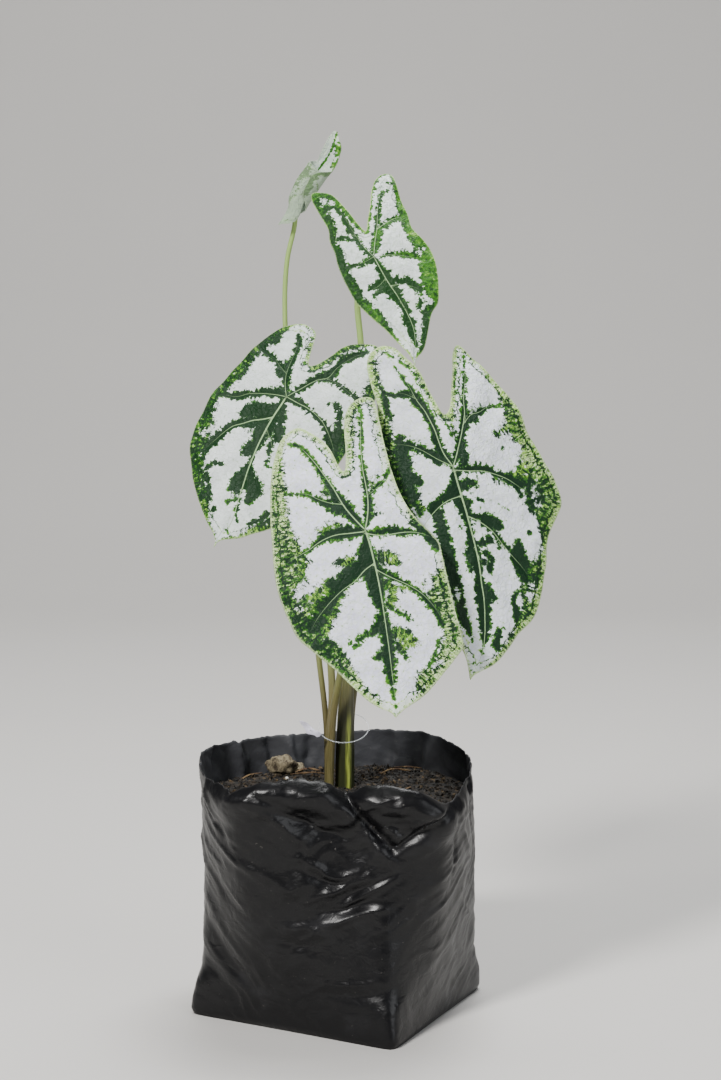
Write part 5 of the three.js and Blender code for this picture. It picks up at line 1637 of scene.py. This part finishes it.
def make_tag(settings):
    """The scrap of tag: two torn ends pinched where the loop goes through, a little curled."""
    outline = smooth_curve(TAG["outline"], closed=True, per_span=6)
    shares = np.linspace(0, 1, TAG["rings"] + 1)[1:, None, None]
    centre = np.array(TAG["middle"])
    places = np.vstack([[centre], (centre + (outline - centre) * shares).reshape(-1, 2)])
    x, y = places.T
    curl = 0.5 * np.sin(x * 0.7) + 0.35 * np.cos(y * 0.9 + 1)
    half = settings.sheet / MM / 2
    lean = math.radians(TAG["lean"])
    points = np.vstack([np.column_stack([
        x, depth * math.cos(lean) + y * math.sin(lean), y * math.cos(lean) - depth * math.sin(lean)])
        for depth in (curl - half, curl + half)])
    return new_piece("tag_fine", points + TAG["corner"],
                     sheet_faces(TAG["rings"], TAG["rings"], len(outline)))


def tag_material(settings):
    """Matte blank plastic paper with a faint fibre, its white greyed as painted shade."""
    material, tree, surface = new_material("blank tag")
    fibre = tree.noise(tree.here(), (1400, 1400, 500), detail=4)
    surface(Base_Color=tree.mix(fibre * 0.35, settings.blank, settings.fibre),
            Roughness=0.6 + fibre * 0.2, Normal=tree.bump(fibre, 0.0001, 0.6))
    return material


def tuber_material(settings):
    """Rough brown corky skin with rings."""
    material, tree, surface = new_material("tuber skin")
    cork = tree.noise(tree.here(), (120, 120, 420), detail=5, roughness=0.65)
    shade = tree.mix(cork, settings.dark, settings.brown)
    surface(Base_Color=tree.mix(tree.step(cork, 0.6, 0.8) * 0.5, shade, settings.straw),
            Roughness=0.85, Normal=tree.bump(cork, 0.0012, 0.9))
    return material


# ---- stage

def make_floor(settings):
    """A pale floor that sweeps up into a wall behind."""
    flat, bend, top, half = (STAGE[key] for key in ("flat", "bend", "top", "half"))
    profile = [(-STAGE["near"], 0), (flat, 0)]
    profile += [(flat + bend * math.sin(a), bend - bend * math.cos(a))
                for a in np.radians(np.arange(6, 91, 6))]
    profile.append((flat + bend, top))
    points = [(x, y, z) for y, z in profile for x in (-half, half)]
    floor = new_piece("floor", np.array(points) / MM, grid_faces(len(profile), 2, closed=False))
    material, tree, surface = new_material("pale floor")
    cloud = tree.noise(tree.here(), 3, detail=3)
    surface(Base_Color=tree.mix(cloud * 0.12, settings.floor, settings.cloud), Roughness=0.8)
    floor.data.materials.append(material)


def make_lights(scene, settings):
    """A soft key from the upper left, a broad fill from the right, a top light and a low sky."""
    for name, place, target, share, size, tint in LIGHTS:
        light = bpy.data.lights.new(name, "AREA")
        light.energy = settings.key * share
        light.size = size
        light.color = tint
        lamp = add_object(name, light)
        lamp.location = place
        lamp.rotation_euler = (Vector(target) - Vector(place)).to_track_quat("-Z", "Y").to_euler()
    world = bpy.data.worlds.new("soft sky")
    scene.world = world
    world.use_nodes = True
    sky = world.node_tree.nodes["Background"].inputs
    sky["Color"].default_value, sky["Strength"].default_value = SKY


def make_camera(scene):
    """The camera in front of the leaves, a little above them and tipped down."""
    camera = bpy.data.cameras.new("camera")
    camera.sensor_width = 36
    camera.lens = 18 / math.tan(math.radians(CAMERA["view"] / 2))
    camera.clip_end = 50
    eye = add_object("camera", camera)
    eye.location = CAMERA["place"]
    eye.rotation_euler = (math.radians(90 - CAMERA["tipped"]), 0, 0)
    scene.camera = eye


# ---- operators

class MakeStage(bpy.types.Operator):
    """Makes the floor, the soft lights and the camera."""
    bl_idname = "caladium.make_stage"
    bl_label = "Stage"

    def execute(self, context):
        settings = context.scene.caladium_stage
        make_floor(settings)
        make_lights(context.scene, settings)
        make_camera(context.scene)
        return {"FINISHED"}


class MakeBlades(bpy.types.Operator):
    """Makes the four spread blades."""
    bl_idname = "caladium.make_blades"
    bl_label = "Blades"

    def execute(self, context):
        settings = context.scene.caladium_leaf
        material = leaf_material(settings)
        for name, leaf in LEAVES.items():
            finish_piece(make_blade(name, leaf, settings), material, "leaf", f"blade_{name}")
        return {"FINISHED"}


class MakeRibs(bpy.types.Operator):
    """Grows the ribs under the blades along their veins."""
    bl_idname = "caladium.make_ribs"
    bl_label = "Ribs under the blades"

    def execute(self, context):
        settings = context.scene.caladium_leaf
        material = rib_material(settings)
        group = geometry_group("rib along its vein", ["Thickness"], rib_nodes, material)
        for name, leaf in LEAVES.items():
            guide = vein_guides(f"ribs_{name}", leaf, settings)
            finish_piece(grown(guide, group, {"Thickness": settings.rib}), material, "leaf")
        return {"FINISHED"}


class MakeYoungBlade(bpy.types.Operator):
    """Makes the blade that is still rolled."""
    bl_idname = "caladium.make_young_blade"
    bl_label = "Young blade"

    def execute(self, context):
        young = make_young_blade(context.scene.caladium_leaf)
        finish_piece(young, bpy.data.materials["caladium leaf"], "leaf", "blade_young")
        return {"FINISHED"}


class MakeStalks(bpy.types.Operator):
    """Makes the five stalks, one with a sheath."""
    bl_idname = "caladium.make_stalks"
    bl_label = "Stalks"

    def execute(self, context):
        settings = context.scene.caladium_stalk
        material = stalk_material(settings)
        for name, data in STALKS.items():
            slot = "sheath_olive" if "sheath" in data else "stalk_green"
            finish_piece(make_stalk(name, settings), material, slot, f"stalk_{name}")
        return {"FINISHED"}


class MakeBag(bpy.types.Operator):
    """Makes the crumpled film of the grow bag."""
    bl_idname = "caladium.make_bag"
    bl_label = "Grow bag"

    def execute(self, context):
        settings = context.scene.caladium_bag
        finish_piece(make_bag(Film(settings)), film_material(settings), "black_film", "grow_bag")
        return {"FINISHED"}


class MakeSoil(bpy.types.Operator):
    """Fills the bag with potting mix and strews crumbs and chips over it."""
    bl_idname = "caladium.make_soil"
    bl_label = "Potting mix"

    def execute(self, context):
        settings = context.scene.caladium_soil
        film = Film(context.scene.caladium_bag)
        soil, top = make_soil(film, settings)
        finish_piece(soil, soil_material(settings), "potting_mix", "soil")
        for number, (name, kind, density, sizes, flatness) in enumerate(CRUMBS):
            finish = soil_material(settings, f"potting mix {kind}", lift=0.35 * number)
            strewn = top[3 + 2 * number:]
            ground = new_piece(name, strewn.reshape(-1, 3), grid_faces(*strewn.shape[:2]))
            group = geometry_group("bits strewn over the mix", [
                "Density", "Smallest", "Largest", "Flatness", "Seed"], scatter_nodes, finish)
            smallest, largest = sizes
            finish_piece(grown(ground, group, {
                "Density": density * 1e4, "Smallest": smallest * MM, "Largest": largest * MM,
                "Flatness": flatness, "Seed": 11 + number}), finish, "potting_mix")
        # The husk, the straws and the grain are darker in their dents as painted shade, in brown mix, wet
        # straw and husk colour.
        husk = husk_material("husk", settings.husk, settings.brown)
        for number, (centre, radii) in enumerate(HUSK):
            finish_piece(rough_lump(f"husk_lump_{number + 1}", centre, radii, 4 + number), husk,
                         "potting_mix")
        straw = husk_material("straw", settings.straw, settings.rust_and_shade)
        finish_piece(make_straws(), straw, "potting_mix")
        angle, radius = GRAIN
        height = np.interp(angle, film.degrees, film.rim)
        away = np.interp(angle, film.degrees, film.radius(film.rim[None], 0)[0])
        turn = math.radians(angle)
        spot = (away * math.cos(turn), away * math.sin(turn), height + radius / 2)
        finish_piece(rough_lump("white_grain", spot, (radius,) * 3, 2, 8, 10),
                     husk_material("white grain", settings.grain, settings.husk), "potting_mix")
        return {"FINISHED"}


class FinishTuber(bpy.types.Operator):
    """Gives the buried tuber its corky skin."""
    bl_idname = "caladium.finish_tuber"
    bl_label = "Tuber"

    def execute(self, context):
        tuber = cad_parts["tuber"]
        tuber.data.materials.clear()
        tuber.data.materials.append(tuber_material(context.scene.caladium_soil))
        return {"FINISHED"}


class MakeTag(bpy.types.Operator):
    """Makes the clear loop and the blank scrap of tag on it."""
    bl_idname = "caladium.make_tag"
    bl_label = "Loop and tag"

    def execute(self, context):
        settings = context.scene.caladium_tag
        finish_piece(make_loop(settings), loop_material(settings), "clear_nylon", "tag_loop")
        finish_piece(make_tag(settings), tag_material(settings), "blank_tag", "tag")
        return {"FINISHED"}


OPERATORS = (MakeStage, MakeBlades, MakeRibs, MakeYoungBlade, MakeStalks, MakeBag, MakeSoil,
             FinishTuber, MakeTag)


class CaladiumPanel(bpy.types.Panel):
    """Lists the pieces of the plant."""
    bl_idname = "VIEW3D_PT_caladium"
    bl_label = "Potted caladium"
    bl_space_type = "VIEW_3D"
    bl_region_type = "UI"
    bl_category = "Caladium"

    def draw(self, context):
        for operator in OPERATORS:
            self.layout.operator(operator.bl_idname)


SETTINGS = {
    "caladium_leaf": LeafSettings, "caladium_stalk": StalkSettings, "caladium_bag": BagSettings,
    "caladium_soil": SoilSettings, "caladium_tag": TagSettings, "caladium_stage": StageSettings,
}


def register():
    for kind in (*SETTINGS.values(), *OPERATORS, CaladiumPanel):
        bpy.utils.register_class(kind)
    for title, group in SETTINGS.items():
        setattr(bpy.types.Scene, title, PointerProperty(type=group))


def unregister():
    for title in SETTINGS:
        delattr(bpy.types.Scene, title)
    for kind in (CaladiumPanel, *reversed(OPERATORS), *reversed(SETTINGS.values())):
        bpy.utils.unregister_class(kind)


def main():
    register()
    for operator in OPERATORS:
        area, action = operator.bl_idname.split(".")
        getattr(getattr(bpy.ops, area), action)()


if __name__ == "__main__":
    main()
